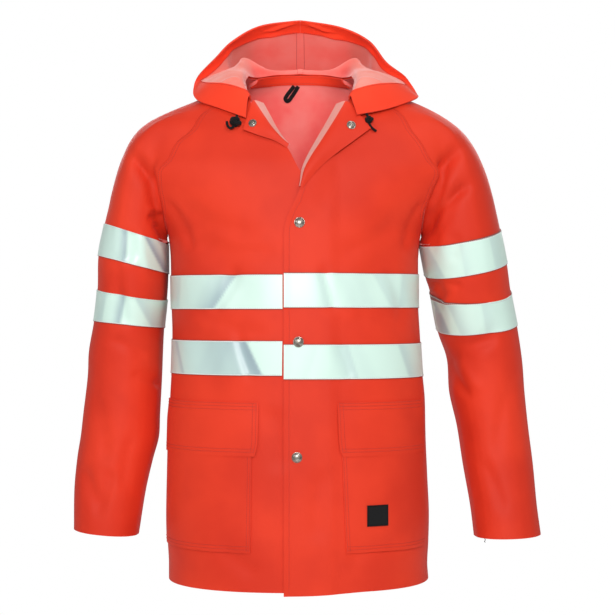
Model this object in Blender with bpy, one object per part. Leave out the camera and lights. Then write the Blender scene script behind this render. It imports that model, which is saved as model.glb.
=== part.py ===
"""Hi-vis work jacket with an open hood, worn shape, hollow.

Metres, +Z up, the front faces -Y, +X is the wearer's left. The origin lies
between the shoulders. Every cloth piece is a wall laid on one of three
surfaces: the body, a sleeve or the hood.
"""

import math

import bmesh
import bpy
import numpy as np

for old in list(bpy.data.objects):
    bpy.data.objects.remove(old)

# ---------------------------------------------------------------- sizes
WALL = 0.0014  # cloth with its coating
SEAM = 0.0003  # gap between pieces that are sewn together
TAPE = 0.0010  # reflective tape
FACING = 0.0012  # hood facing and neck band
ROUND = 2 / 2.4  # power that squares the body's level sections
NORMAL_STEP = 1e-4

# The body, a row for each level section: half widths at the wearer's right and
# left, depth in front of and behind the side line.
BODY = ("height", "right", "left", "front", "back")
BODY_ROWS = (
    (-0.712, 0.1955, 0.1915, 0.150, 0.136),
    (-0.690, 0.1955, 0.1900, 0.150, 0.136),
    (-0.660, 0.1970, 0.1915, 0.150, 0.136),
    (-0.620, 0.1980, 0.1925, 0.149, 0.135),
    (-0.560, 0.1970, 0.1900, 0.147, 0.132),
    (-0.500, 0.1955, 0.1875, 0.145, 0.129),
    (-0.450, 0.1940, 0.1865, 0.143, 0.126),
    (-0.400, 0.1915, 0.1820, 0.141, 0.123),
    (-0.350, 0.1905, 0.1790, 0.139, 0.122),
    (-0.300, 0.1920, 0.1765, 0.137, 0.123),
    (-0.240, 0.1930, 0.1765, 0.133, 0.125),
    (-0.205, 0.1965, 0.1800, 0.131, 0.127),
    (-0.180, 0.2090, 0.1930, 0.129, 0.128),
    (-0.155, 0.2290, 0.2150, 0.126, 0.129),
    (-0.130, 0.2510, 0.2420, 0.123, 0.129),
    (-0.105, 0.2665, 0.2640, 0.119, 0.128),
    (-0.080, 0.2660, 0.2650, 0.111, 0.125),
    (-0.0585, 0.2570, 0.2570, 0.104, 0.121),
    (-0.0426, 0.2400, 0.2435, 0.098, 0.118),
    (-0.0285, 0.2140, 0.2205, 0.090, 0.114),
    (-0.017, 0.1910, 0.1930, 0.082, 0.111),
    (-0.0045, 0.1640, 0.1690, 0.072, 0.107),
    (0.012, 0.1290, 0.1310, 0.056, 0.101),
    (0.024, 0.1010, 0.1020, 0.042, 0.096),
    (0.0345, 0.0775, 0.0775, 0.025, 0.091),
    (0.042, 0.0735, 0.0735, 0.015, 0.088),
    (0.050, 0.0690, 0.0690, 0.010, 0.085),
)

# Where the side seams run, as angles round the body from the front centre.
SIDE_SEAM = {"right": math.radians(-90), "left": math.radians(74)}
SIDE_SEAM_SETTLES = -0.262  # height below which a side seam keeps its angle
UNDERARM = -0.205  # height at which the raglan seams meet the side seams
NECK_CORNER = 0.012  # height of the front raglan seam's neck end
BACK_CORNER = 0.040  # height of the back raglan seam's neck end
BACK_NECK_RISE = 0.010  # the back neck's middle above its corners

# Raglan seams, a row for each height: distance from the middle on each side.
RAGLAN = ("height", "right", "left")
FRONT_RAGLAN = (
    (-0.205, 0.1965, 0.1800),
    (-0.180, 0.1990, 0.1805),
    (-0.155, 0.2020, 0.1870),
    (-0.137, 0.2050, 0.1935),
    (-0.117, 0.2060, 0.2010),
    (-0.098, 0.1900, 0.1880),
    (-0.075, 0.1790, 0.1760),
    (-0.055, 0.1560, 0.1610),
    (-0.032, 0.1430, 0.1490),
    (-0.012, 0.1160, 0.1200),
    (0.012, 0.0800, 0.0800),
)
BACK_RAGLAN = (
    (-0.205, 0.1965, 0.1800),
    (-0.180, 0.2030, 0.1875),
    (-0.150, 0.2010, 0.1920),
    (-0.120, 0.1960, 0.1930),
    (-0.090, 0.1820, 0.1820),
    (-0.060, 0.1660, 0.1660),
    (-0.032, 0.1480, 0.1480),
    (-0.005, 0.1230, 0.1230),
    (0.010, 0.1072, 0.1066),
    (0.020, 0.0920, 0.0912),
    (0.025, 0.0830, 0.0824),
    (0.030, 0.0738, 0.0736),
    (0.035, 0.0672, 0.0672),
    (0.040, 0.0651, 0.0651),
)

# Heights at which the panels and the sleeves share a point of the raglan seams.
FRONT_STATIONS = (
    -0.205, -0.194, -0.180, -0.155, -0.135, -0.117, -0.098, -0.075, -0.055, -0.032, -0.010, 0.0112,
)
BACK_STATIONS = (
    -0.205, -0.194, -0.180, -0.150, -0.120, -0.090, -0.060, -0.032, -0.005, 0.018, 0.028, 0.0395,
)

# The fronts' inner edges: x at each height, up the placket, the roll line and
# the neck. The left front lies over; the right front runs on under it.
EDGE = ("height", "x")
LEFT_EDGE = (
    (-0.712, -0.0220),
    (-0.205, -0.0220),
    (-0.181, -0.0162),
    (-0.157, -0.0050),
    (-0.140, 0.0020),
    (-0.116, 0.0110),
    (-0.078, 0.0360),
    (-0.012, 0.0722),
    (0.012, 0.0800),
)
RIGHT_EDGE = (
    (-0.712, 0.0200),
    (-0.160, 0.0200),
    (-0.135, 0.0150),
    (-0.116, 0.0000),
    (-0.081, -0.0190),
    (-0.038, -0.0585),
    (-0.012, -0.0722),
    (0.012, -0.0800),
)

# The largest folds, a row for each: the cloth it is in, both ends as x and
# height seen from the front, the sideways bend of its line, half its width,
# how deep it is (a ridge is negative), and its face (1 front, -1 back).
FOLD = ("cloth", "x0", "z0", "x1", "z1", "bend", "width", "depth", "face")
FOLDS = (
    ("sleeve_left", 0.242, -0.062, 0.186, -0.225, -0.016, 0.012, 0.0090, 1),
    ("sleeve_left", 0.254, -0.120, 0.192, -0.240, -0.012, 0.010, 0.0060, 1),
    ("sleeve_left", 0.226, -0.100, 0.206, -0.240, -0.010, 0.010, -0.0040, 1),
    ("sleeve_left", 0.300, -0.330, 0.216, -0.395, 0.006, 0.013, 0.0050, 1),
    ("sleeve_right", -0.255, -0.072, -0.204, -0.225, 0.016, 0.012, 0.0085, 1),
    ("sleeve_right", -0.236, -0.110, -0.214, -0.235, 0.012, 0.011, -0.0040, 1),
    ("sleeve_right", -0.268, -0.225, -0.270, -0.350, 0.002, 0.010, 0.0040, 1),
    ("sleeve_right", -0.325, -0.540, -0.290, -0.625, 0.004, 0.011, 0.0040, 1),
    ("sleeve_left", 0.240, -0.070, 0.190, -0.225, -0.014, 0.013, 0.0080, -1),
    ("sleeve_right", -0.245, -0.075, -0.200, -0.225, 0.014, 0.013, 0.0080, -1),
    ("sleeve_left", 0.230, -0.340, 0.325, -0.400, 0.006, 0.013, 0.0050, -1),
    ("sleeve_right", -0.210, -0.350, -0.310, -0.410, 0.006, 0.013, 0.0050, -1),
    ("body", -0.180, -0.160, -0.070, -0.330, 0.012, 0.022, 0.0040, 1),
    ("body", 0.165, -0.150, 0.100, -0.320, -0.012, 0.022, 0.0035, 1),
    ("body", -0.150, -0.330, -0.120, -0.470, 0.006, 0.020, 0.0030, 1),
    ("body", -0.130, -0.150, -0.090, -0.420, 0.012, 0.034, 0.0050, -1),
    ("body", 0.130, -0.150, 0.085, -0.420, -0.012, 0.034, 0.0050, -1),
    ("body", 0.030, -0.420, 0.040, -0.680, 0.010, 0.034, 0.0040, -1),
)

# Heights of what is sewn on the body.
HEM = -0.712
POCKET_BOTTOM = -0.657
POCKET_TOP = -0.478
FLAP_BOTTOM = -0.5215
FLAP_TOP = -0.445
TAPE_WIDTH = 0.050
LEFT_TAPES = {"upper": -0.262, "lower": -0.363}
RIGHT_TAPES = {"upper": -0.264, "lower": -0.358}
LABEL_TOP = -0.592
LABEL_BOTTOM = -0.622

# Columns of the fronts, as shares of the way from the inner edge to the side.
LEFT_POCKET_EDGE = 0.24
LEFT_LABEL = (0.381, 0.522)
LEFT_COLUMNS = (0, 0.08, 0.16, 0.24, 0.31, 0.381, 0.45, 0.522, 0.61, 0.70, 0.79, 0.87, 0.94, 1)
RIGHT_TAPE_START = 0.095
RIGHT_POCKET_EDGE = 0.2115
FLAP_COLUMN = {"left": 0.24, "right": 0.155}  # the front's column that each flap's inner edge follows
RIGHT_COLUMNS = (0, 0.05, 0.095, 0.155, 0.2115, 0.29, 0.37, 0.45, 0.53, 0.61, 0.69, 0.77, 0.85, 0.93, 1)
POCKET_SIDE = -2  # column, from the side seam, at which pockets and flaps end

# The slanting inner edges of pockets and flaps: the x on each side at a height.
SLANT = ("height", "right", "left")
POCKET_SLANT = (
    (-0.660, -0.0690, 0.0658),
    (-0.600, -0.0682, 0.0630),
    (-0.470, -0.0668, 0.0580),
)
FLAP_SLANT = (
    (-0.5215, -0.0632, 0.0612),
    (-0.5130, -0.0606, 0.0570),
    (-0.5000, -0.0584, 0.0554),
    (-0.4450, -0.0576, 0.0530),
)

# Sleeves, a row for each ring from the upper tape to the cuff: outer point,
# inner point, middle of the depth, half depth, drop of the front.
SLEEVE = ("out_x", "out_z", "in_x", "in_z", "middle", "depth", "drop")
LEFT_SLEEVE = (
    (0.3000, -0.1930, 0.1800, -0.2180, 0.006, 0.080, 0.010),
    (0.3105, -0.2420, 0.1890, -0.2640, 0.012, 0.079, 0.012),
    (0.3180, -0.2860, 0.1975, -0.2900, 0.022, 0.076, 0.017),
    (0.3285, -0.3350, 0.2090, -0.3460, 0.032, 0.073, 0.011),
    (0.3370, -0.3900, 0.2240, -0.3900, 0.036, 0.070, 0.004),
    (0.3405, -0.4390, 0.2275, -0.4400, 0.034, 0.067, 0.0),
    (0.3450, -0.4900, 0.2385, -0.4910, 0.028, 0.064, 0.0),
    (0.3510, -0.5470, 0.2465, -0.5480, 0.018, 0.060, 0.0),
    (0.3550, -0.6050, 0.2560, -0.6070, 0.006, 0.056, 0.0),
    (0.3600, -0.6490, 0.2610, -0.6525, -0.002, 0.053, 0.0),
)
RIGHT_SLEEVE = (
    (0.2916, -0.1860, 0.1985, -0.2165, 0.002, 0.079, 0.0),
    (0.3015, -0.2340, 0.1985, -0.2610, 0.005, 0.078, 0.0),
    (0.3035, -0.2835, 0.2010, -0.3000, 0.009, 0.075, 0.003),
    (0.3095, -0.3315, 0.2055, -0.3420, 0.013, 0.073, 0.0),
    (0.3175, -0.3760, 0.2075, -0.3800, 0.015, 0.070, 0.0),
    (0.3195, -0.4150, 0.2090, -0.4190, 0.015, 0.068, 0.0),
    (0.3255, -0.4680, 0.2115, -0.4710, 0.012, 0.065, 0.0),
    (0.3290, -0.5020, 0.2130, -0.5060, 0.009, 0.063, 0.0),
    (0.3340, -0.5370, 0.2220, -0.5410, 0.005, 0.060, 0.0),
    (0.3375, -0.5820, 0.2320, -0.5870, 0.0, 0.057, 0.0),
    (0.3375, -0.6405, 0.2415, -0.6495, -0.005, 0.053, 0.0),
)
SLEEVES = {"left": LEFT_SLEEVE, "right": RIGHT_SLEEVE}
SLEEVE_TAPES = {"upper": (0, 1), "lower": (2, 3)}
NECK_TURN = math.radians(24)  # share of a sleeve's turn that its neck edge takes
SHOULDER_REACH = 2.0  # turn at which the shoulder line's direction ends
SHOULDER_CALM = 0.4  # how far the front and back slopes give way near the shoulder line
SHOULDER_PULL = {"left": 0.54, "right": 0.60}  # how far the shoulder line keeps its direction
UNDERARM_PULL = 0.34
NECK_GAP = 0.0008  # between the hood and the body's neck edge
EDGE_LIFT = {"left": 0.006, "right": 0.002}  # how far the front edges lift at the open neck
ARMPIT_GAP = 0.0013  # from the body's side to the sleeve at the underarm
CENTRE_GAP = 0.00015  # from the hood's middle to each half
ARMPIT_SPLAY = 0.35  # how far the sleeve leaves the body at the underarm
SHOULDER_AIM = {"left": (0.2253, -0.0285), "right": (-0.2030, -0.0300)}  # where the shoulder line heads
SHOULDER_ROWS = (0, 0.16, 0.32, 0.48, 0.62, 0.76, 0.88)

# The neckline on the body, a row for each station from the lapel to the back
# middle: angle round the body and height.
NECKLINE = ("angle", "height")
NECKLINE_ROWS = (
    (19.0, -0.012),
    (33.6, 0.012),
    (60.0, 0.028),
    (90.0, 0.0345),
    (121.7, 0.0400),
    (150.0, 0.0470),
    (180.0, 0.0500),
)

# The hood, a row for each section from its front end to the centre seam: how
# far along the neckline it starts, where the edge facing starts, then the points
# it passes: the fold beside the neck, two down the bag, the rear, the free edge.
HOOD = ("along", "facing", "crest", "near", "low", "rear", "edge")
LEFT_HOOD = (
    (0.00, 0.100, (0.0735, -0.083, -0.006), (0.0755, -0.0895, -0.012), (0.0775, -0.0945, -0.019),
     (0.0800, -0.099, -0.028), (0.0820, -0.1025, -0.036)),
    (0.16, 0.500, (0.0850, -0.062, 0.018), (0.0960, -0.069, 0.014), (0.1060, -0.074, 0.005),
     (0.1170, -0.078, -0.009), (0.1280, -0.080, -0.024)),
    (0.32, 0.700, (0.0870, -0.030, 0.036), (0.1060, -0.034, 0.034), (0.1270, -0.040, 0.024),
     (0.1480, -0.044, 0.010), (0.1690, -0.047, -0.006)),
    (0.44, 0.800, (0.0880, -0.006, 0.043), (0.1100, -0.004, 0.040), (0.1330, -0.006, 0.030),
     (0.1560, -0.008, 0.020), (0.1725, -0.014, 0.006)),
    (0.55, 0.850, (0.0880, 0.016, 0.049), (0.1080, 0.022, 0.046), (0.1300, 0.026, 0.040),
     (0.1480, 0.022, 0.033), (0.1600, 0.012, 0.036)),
    (0.66, 0.900, (0.0860, 0.038, 0.060), (0.1000, 0.052, 0.055), (0.1110, 0.060, 0.048),
     (0.1220, 0.056, 0.048), (0.1320, 0.032, 0.062)),
    (0.76, 0.945, (0.0810, 0.060, 0.071), (0.0890, 0.092, 0.054), (0.0980, 0.118, 0.022),
     (0.1060, 0.104, 0.064), (0.1060, 0.046, 0.097)),
    (0.87, 0.966, (0.0500, 0.084, 0.055), (0.0600, 0.134, 0.022), (0.0740, 0.178, -0.076),
     (0.0780, 0.172, 0.034), (0.0630, 0.060, 0.1205)),
    (1.00, 0.973, (0.0003, 0.091, 0.0545), (0.0003, 0.146, 0.010), (0.0003, 0.196, -0.116),
     (0.0003, 0.194, 0.024), (0.0003, 0.066, 0.1325)),
)
RIGHT_HOOD = (
    (0.00, 0.100, (0.0735, -0.083, -0.006), (0.0750, -0.0895, -0.012), (0.0758, -0.0945, -0.020),
     (0.0762, -0.099, -0.030), (0.0765, -0.1025, -0.040)),
    (0.16, 0.500, (0.0845, -0.062, 0.018), (0.0930, -0.069, 0.014), (0.1000, -0.074, 0.005),
     (0.1070, -0.078, -0.009), (0.1140, -0.080, -0.024)),
    (0.32, 0.700, (0.0865, -0.030, 0.036), (0.1030, -0.034, 0.034), (0.1200, -0.042, 0.024),
     (0.1360, -0.048, 0.010), (0.1500, -0.054, -0.008)),
    (0.44, 0.800, (0.0880, -0.006, 0.043), (0.1080, -0.004, 0.040), (0.1280, -0.004, 0.031),
     (0.1460, -0.006, 0.025), (0.1575, -0.012, 0.016)),
    (0.55, 0.850, (0.0890, 0.016, 0.051), (0.1060, 0.022, 0.047), (0.1260, 0.026, 0.041),
     (0.1430, 0.022, 0.034), (0.1540, 0.012, 0.038)),
    (0.66, 0.900, (0.0870, 0.038, 0.062), (0.0990, 0.052, 0.057), (0.1090, 0.060, 0.051),
     (0.1190, 0.056, 0.053), (0.1290, 0.032, 0.069)),
    (0.76, 0.945, (0.0830, 0.060, 0.071), (0.0900, 0.092, 0.054), (0.0970, 0.118, 0.022),
     (0.1040, 0.104, 0.064), (0.1040, 0.046, 0.097)),
    (0.87, 0.966, (0.0510, 0.084, 0.055), (0.0600, 0.134, 0.022), (0.0730, 0.178, -0.076),
     (0.0770, 0.172, 0.034), (0.0620, 0.060, 0.1225)),
    (1.00, 0.973, (0.0003, 0.091, 0.0545), (0.0003, 0.146, 0.010), (0.0003, 0.196, -0.116),
     (0.0003, 0.194, 0.024), (0.0003, 0.066, 0.1325)),
)
HOODS = {"left": LEFT_HOOD, "right": RIGHT_HOOD}
FACING_START = 0.8  # the facing's share of the hood's columns starts here
HOOD_ACROSS = (0, 0.07, 0.16, 0.25, 0.34, 0.43, 0.52, 0.61, 0.70, 0.8, 0.9, 1)
HOOD_ALONG = (0, 0.08, 0.16, 0.24, 0.32, 0.38, 0.44, 0.50, 0.56, 0.62, 0.68, 0.74, 0.80, 0.87, 0.935, 1)

# Lapels, a row for each station from the neck down: the roll line's x and
# height, the free edge's x and height, how far the roll and the free edge
# stand off the body, and how far the cloth turns in behind the roll.
LAPEL = ("roll_x", "roll_z", "edge_x", "edge_z", "rise", "stand", "turn_in")
LEFT_LAPEL = (
    (0.0690, -0.0170, 0.1010, -0.0570, 0.0060, 0.0080, 0.010),
    (0.0520, -0.0460, 0.0745, -0.0768, 0.0080, 0.0065, 0.011),
    (0.0315, -0.0781, 0.0474, -0.0977, 0.0095, 0.0065, 0.010),
    (0.0170, -0.1000, 0.0270, -0.1160, 0.0100, 0.0085, 0.008),
    (0.0070, -0.1180, 0.0115, -0.1345, 0.0110, 0.0095, 0.006),
    (0.0010, -0.1400, 0.0025, -0.1450, 0.0105, 0.0100, 0.003),
)
RIGHT_LAPEL = (
    (-0.0680, -0.0160, -0.0800, -0.0590, 0.0060, 0.0075, 0.009),
    (-0.0535, -0.0385, -0.0660, -0.0640, 0.0075, 0.0060, 0.009),
    (-0.0415, -0.0545, -0.0520, -0.0690, 0.0080, 0.0055, 0.008),
    (-0.0285, -0.0685, -0.0350, -0.0750, 0.0070, 0.0050, 0.006),
    (-0.0150, -0.0795, -0.0180, -0.0845, 0.0042, 0.0034, 0.003),
)
LAPELS = {"left": LEFT_LAPEL, "right": RIGHT_LAPEL}
LAPEL_ACROSS = (0, 0.5, 1, 1.4, 1.8, 2.2, 2.6, 3)
LAPEL_PLY = 0.0016  # front and facing, turned out together
LAPEL_TIP = 0.020  # width under which a lapel is flat
LAPEL_THINS = 0.35  # share of its ply that a lapel loses at its tip

SNAPS = {"top": (0.0000, -0.191), "middle": (-0.0015, -0.360), "bottom": (-0.0035, -0.522)}  # x, height
SNAP_RADIUS = 0.0075
CAP_PROFILE = ((0, 0), (1, 0), (1, 0.0008), (0.92, 0.0019), (0.70, 0.0028), (0.38, 0.0033), (0, 0.0035))
RING_SNAPS = {"left": (0.62, 2.12, 0.0066), "right": (0.62, 2.30, 0.0060)}  # station, place across, radius
RING_PROFILE = (
    (0, 0), (1, 0), (1, 0.0007), (0.86, 0.0013), (0.66, 0.0012), (0.58, 0.0006), (0.40, 0.0006),
    (0.34, 0.0016), (0, 0.0018),
)

# The hanger loop's middle line, as x and height, and its tape.
HANGER = (
    (-0.0030, 0.0330), (-0.0085, 0.0245), (-0.0138, 0.0172), (-0.0172, 0.0128), (-0.0212, 0.0116),
    (-0.0234, 0.0150), (-0.0198, 0.0212), (-0.0143, 0.0278), (-0.0095, 0.0335),
)
HANGER_WIDTH = 0.0034
HANGER_PLY = 0.0012
HANGER_GAP = 0.0041  # from the back's surface to the loop, past the neck band

# Drawcord ends: where each leaves the hood's edge, as a share of the neckline,
# and the steps from there to the points that it passes.
CORD_EXIT = {"right": 0.055, "left": 0.045}
CORD_RADIUS = 0.0018
CORD_GAP = 0.0012  # from the hood's edge to the cord's end
KNOT_RING = {"right": 0.0050, "left": 0.0038}  # from the cord's middle to the middle of the knot's coil
KNOT_COIL = {"right": 0.0028, "left": 0.0018}
CORDS = {
    "right": (
        (0.0, 0.0, 0.0), (-0.0005, -0.0040, -0.0045), (-0.0020, -0.0070, -0.0095),
        (-0.0040, -0.0085, -0.0160), (-0.0085, -0.0075, -0.0190), (-0.0130, -0.0045, -0.0155),
        (-0.0145, -0.0015, -0.0090),
    ),
    "left": (
        (0.0, 0.0, 0.0), (0.0020, -0.0020, -0.0040), (0.0035, -0.0035, -0.0085),
        (0.0040, -0.0040, -0.0135), (0.0060, -0.0040, -0.0180), (0.0090, -0.0035, -0.0215),
        (0.0140, -0.0028, -0.0250),
    ),
}
KNOT_AT = 2  # the cord's point inside the knot

# ---------------------------------------------------------------- curves


def column(names, rows, name):
    at = names.index(name)
    return np.array([row[at] for row in rows], float)


def smooth(knots, values, at):
    """A smooth curve through the values that never overshoots them."""
    knots = np.asarray(knots, float)
    values = np.asarray(values, float)
    if values.ndim > 1:
        return np.stack([smooth(knots, side, at) for side in values.T], axis=-1)
    width = np.diff(knots)
    slope = np.diff(values) / width
    rate = np.empty(len(knots))
    rate[0], rate[-1] = slope[0], slope[-1]
    for i in range(1, len(knots) - 1):
        before, after = slope[i - 1], slope[i]
        rate[i] = 0 if before * after <= 0 else 2 * before * after / (before + after)
    at = np.clip(at, knots[0], knots[-1])
    i = np.clip(np.searchsorted(knots, at) - 1, 0, len(width) - 1)
    t = (at - knots[i]) / width[i]
    return (
        values[i] * (1 + 2 * t) * (1 - t) ** 2
        + values[i + 1] * t * t * (3 - 2 * t)
        + width[i] * (rate[i] * t * (1 - t) ** 2 - rate[i + 1] * t * t * (1 - t))
    )


def flowing(points, t):
    """A curve through points[k] at t = k, with its bends shared evenly."""
    points = np.asarray(points, float)
    last = len(points) - 1
    t = np.clip(t, 0, last)
    k = np.clip(np.floor(t).astype(int), 0, last - 1)
    f = (t - k).reshape(t.shape + (1,) * (points.ndim - 1))
    ahead = 2 * points[-1] - points[-2]
    behind = 2 * points[0] - points[1]
    run = np.concatenate([behind[None], points, ahead[None]])
    a, b, c, d = run[k], run[k + 1], run[k + 2], run[k + 3]
    return 0.5 * (2 * b + (c - a) * f + (2 * a - 5 * b + 4 * c - d) * f**2 + (3 * b - a - 3 * c + d) * f**3)


def ease(t):
    t = np.clip(t, 0, 1)
    return t * t * (3 - 2 * t)


def unit(vectors):
    return vectors / np.maximum(np.linalg.norm(vectors, axis=-1, keepdims=True), 1e-12)


def signed_power(value, power):
    return np.sign(value) * np.abs(value) ** power


# ---------------------------------------------------------------- body


def body_size(name, height):
    return smooth(column(BODY, BODY_ROWS, "height"), column(BODY, BODY_ROWS, name), height)


def body(angle, height):
    """A point of the body's surface at an angle from the front, at a height."""
    sine, cosine = np.sin(angle), np.cos(angle)
    half = np.where(sine >= 0, body_size("left", height), body_size("right", height))
    deep = np.where(cosine >= 0, body_size("front", height), body_size("back", height))
    x = half * signed_power(sine, ROUND)
    y = -deep * signed_power(cosine, ROUND)
    return np.stack([x, y, height + 0 * x], axis=-1)


def angle_at(x, height):
    """The angle from the front (or from the back) at which the body has this x."""
    half = np.where(x >= 0, body_size("left", height), body_size("right", height))
    return np.sign(x) * np.arcsin(np.clip((np.abs(x) / half) ** (1 / ROUND), 0, 1))


def outward(surface, u, v, facing=1):
    """The unit normals of a surface of two numbers."""
    along_u = surface(u + NORMAL_STEP, v) - surface(u - NORMAL_STEP, v)
    along_v = surface(u, v + NORMAL_STEP) - surface(u, v - NORMAL_STEP)
    return facing * unit(np.cross(along_u, along_v))


def side_seam(side, height):
    """The side seam's angle: it turns forward below the underarm."""
    level = math.radians(90) if side == "left" else math.radians(-90)
    low = ease((height - SIDE_SEAM_SETTLES) / (UNDERARM - SIDE_SEAM_SETTLES))
    return SIDE_SEAM[side] + (level - SIDE_SEAM[side]) * low


def side_limit(side, height):
    """The outer limit of a front panel: the side seam, then the raglan seam."""
    sign = 1 if side == "left" else -1
    x = smooth(column(RAGLAN, FRONT_RAGLAN, "height"), column(RAGLAN, FRONT_RAGLAN, side), height)
    raglan = angle_at(sign * x, height)
    return np.where(height < UNDERARM, side_seam(side, height), raglan)


def back_limit(side, height):
    """The limit of the back panel, as an angle from the front centre."""
    sign = 1 if side == "left" else -1
    x = smooth(column(RAGLAN, BACK_RAGLAN, "height"), column(RAGLAN, BACK_RAGLAN, side), height)
    raglan = sign * math.pi - angle_at(sign * x, height)
    return np.where(height < UNDERARM, side_seam(side, height), raglan)


def inner_limit(side, height):
    rows = LEFT_EDGE if side == "left" else RIGHT_EDGE
    x = smooth(column(EDGE, rows, "height"), column(EDGE, rows, "x"), height)
    return angle_at(x, height)


def fold_depth(cloth, point, facing):
    """How far the folds move a cloth's points outwards.

    facing is 1 at the front and -1 at the back.
    """
    shape = point.shape[:-1]
    x, z = point[..., 0].ravel(), point[..., 2].ravel()
    facing = np.broadcast_to(facing, shape).ravel()
    total = np.zeros(x.shape)
    for row in FOLDS:
        fold = dict(zip(FOLD, row))
        if fold["cloth"] != cloth:
            continue
        reach = 3 * fold["width"] + abs(fold["bend"])
        beside = np.abs(2 * x - fold["x0"] - fold["x1"]) < abs(fold["x1"] - fold["x0"]) + 2 * reach
        level = np.abs(2 * z - fold["z0"] - fold["z1"]) < abs(fold["z1"] - fold["z0"]) + 2 * reach
        near = np.flatnonzero(beside & level & (facing * fold["face"] > 0))
        run_x, run_z = fold["x1"] - fold["x0"], fold["z1"] - fold["z0"]
        length = math.hypot(run_x, run_z)
        off_x, off_z = x[near] - fold["x0"], z[near] - fold["z0"]
        t = (off_x * run_x + off_z * run_z) / length**2
        aside = (off_z * run_x - off_x * run_z) / length - fold["bend"] * 4 * t * (1 - t)
        fade = ease(t / 0.25) * ease((1 - t) / 0.25) * ease(facing[near] * fold["face"] / 0.4)
        total[near] -= fold["depth"] * fade * np.exp(-((aside / fold["width"]) ** 2))
    return total.reshape(shape)


def folded_body(angle, height):
    """The body's surface with its folds."""
    point = body(angle, height)
    return point + outward(body, angle, height) * fold_depth("body", point, np.cos(angle))[..., None]


def body_normal(angle, height):
    return outward(folded_body, angle, height)


def overlap_lift(side, angle, height):
    """The left front rides over the right one near the placket."""
    if side == "right":
        return 0 * angle
    x = body(angle, height)[..., 0]
    return (WALL + 0.0006) * (1 - ease((x - 0.040) / 0.020)) * (1 - ease((height + 0.11) / 0.05))


def edge_lift(side, share, height):
    """The front edges lift from the body to meet the lapels at the open neck."""
    near = 1 - ease(share / 0.16)
    rise = ease((height + 0.205) / 0.07) * (1 - ease((height + 0.05) / 0.04))
    return EDGE_LIFT[side] * near * rise


def front_surface(side):
    def surface(share, height, out=0.0):
        start, stop = inner_limit(side, height), side_limit(side, height)
        gap = SEAM / 2 / 0.19
        stop = stop - np.sign(stop) * gap
        angle = start + (stop - start) * share
        lift = overlap_lift(side, angle, height) + edge_lift(side, share, height) + out
        return folded_body(angle, height) + body_normal(angle, height) * np.expand_dims(lift, -1)

    return surface


def back_surface(share, height, out=0.0):
    rise = BACK_NECK_RISE * (1 - (2 * share - 1) ** 2) * ease((height - 0.0) / BACK_CORNER)
    gap = SEAM / 2 / 0.19
    start = back_limit("left", height) + gap
    stop = back_limit("right", height) + 2 * math.pi - gap
    angle = start + (stop - start) * share
    lift = np.expand_dims(out + 0 * angle, -1)
    height = height + rise
    return folded_body(angle, height) + body_normal(angle, height) * lift


# ---------------------------------------------------------------- sleeves


def seam_loop(side):
    """The seam that joins a sleeve to the body and neck, as angle and height.

    They are for each turn of the sleeve: 0 at the shoulder, half a turn at the
    underarm, the front positive.
    """
    sign = 1 if side == "left" else -1

    def path(rows, corner, from_back):
        height = np.linspace(corner, UNDERARM, 61)
        x = sign * smooth(column(RAGLAN, rows, "height"), column(RAGLAN, rows, side), height)
        angle = angle_at(x, height)
        if from_back:
            angle = sign * math.pi - angle
        points = folded_body(angle, height)
        along = np.concatenate([[0], np.cumsum(np.linalg.norm(np.diff(points, axis=0), axis=1))])
        return along / along[-1], angle, height

    front, back = path(FRONT_RAGLAN, NECK_CORNER, False), path(BACK_RAGLAN, BACK_CORNER, True)
    neck_angle = sign * np.radians(column(NECKLINE, NECKLINE_ROWS, "angle"))
    neck_height = column(NECKLINE, NECKLINE_ROWS, "height")

    def turn_at(height, ahead):
        share = np.interp(-height, -(front if ahead else back)[2], (front if ahead else back)[0])
        return (1 if ahead else -1) * (NECK_TURN + share * (math.pi - NECK_TURN))

    def loop(turn):
        far = np.abs(turn) > NECK_TURN
        share = (np.abs(turn) - NECK_TURN) / (math.pi - NECK_TURN)
        ahead = turn > 0
        angle = np.where(ahead, np.interp(share, front[0], front[1]), np.interp(share, back[0], back[1]))
        height = np.where(ahead, np.interp(share, front[0], front[2]), np.interp(share, back[0], back[2]))
        station = 2.5 - turn / NECK_TURN * 1.5
        near_angle = smooth(np.arange(7), neck_angle, station)
        near_height = smooth(np.arange(7), neck_height, station)
        return np.where(far, angle, near_angle), np.where(far, height, near_height)

    loop.turn_at = turn_at
    return loop


def sleeve_turns(side):
    """The sleeve's columns: round the back raglan seam, the neck edge and the front raglan seam."""
    turn_at = seam_loop(side).turn_at
    back = [turn_at(height, False) for height in BACK_STATIONS]
    front = [turn_at(height, True) for height in reversed(FRONT_STATIONS)]
    return [*back, -NECK_TURN / 3, NECK_TURN / 3, *front]


def ring_point(side, rows, turn, index):
    """A point of the sleeve's tube: index counts the rows of its table."""
    sign = 1 if side == "left" else -1
    value = {name: flowing(column(SLEEVE, rows, name), index) for name in SLEEVE}
    share = (1 + signed_power(np.cos(turn), 0.92)) / 2
    forward = signed_power(np.sin(turn), 0.92)
    x = value["in_x"] + (value["out_x"] - value["in_x"]) * share
    z = value["in_z"] + (value["out_z"] - value["in_z"]) * share - value["drop"] * forward
    y = value["middle"] - value["depth"] * forward
    return np.stack([sign * x, y, z], axis=-1)


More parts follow.
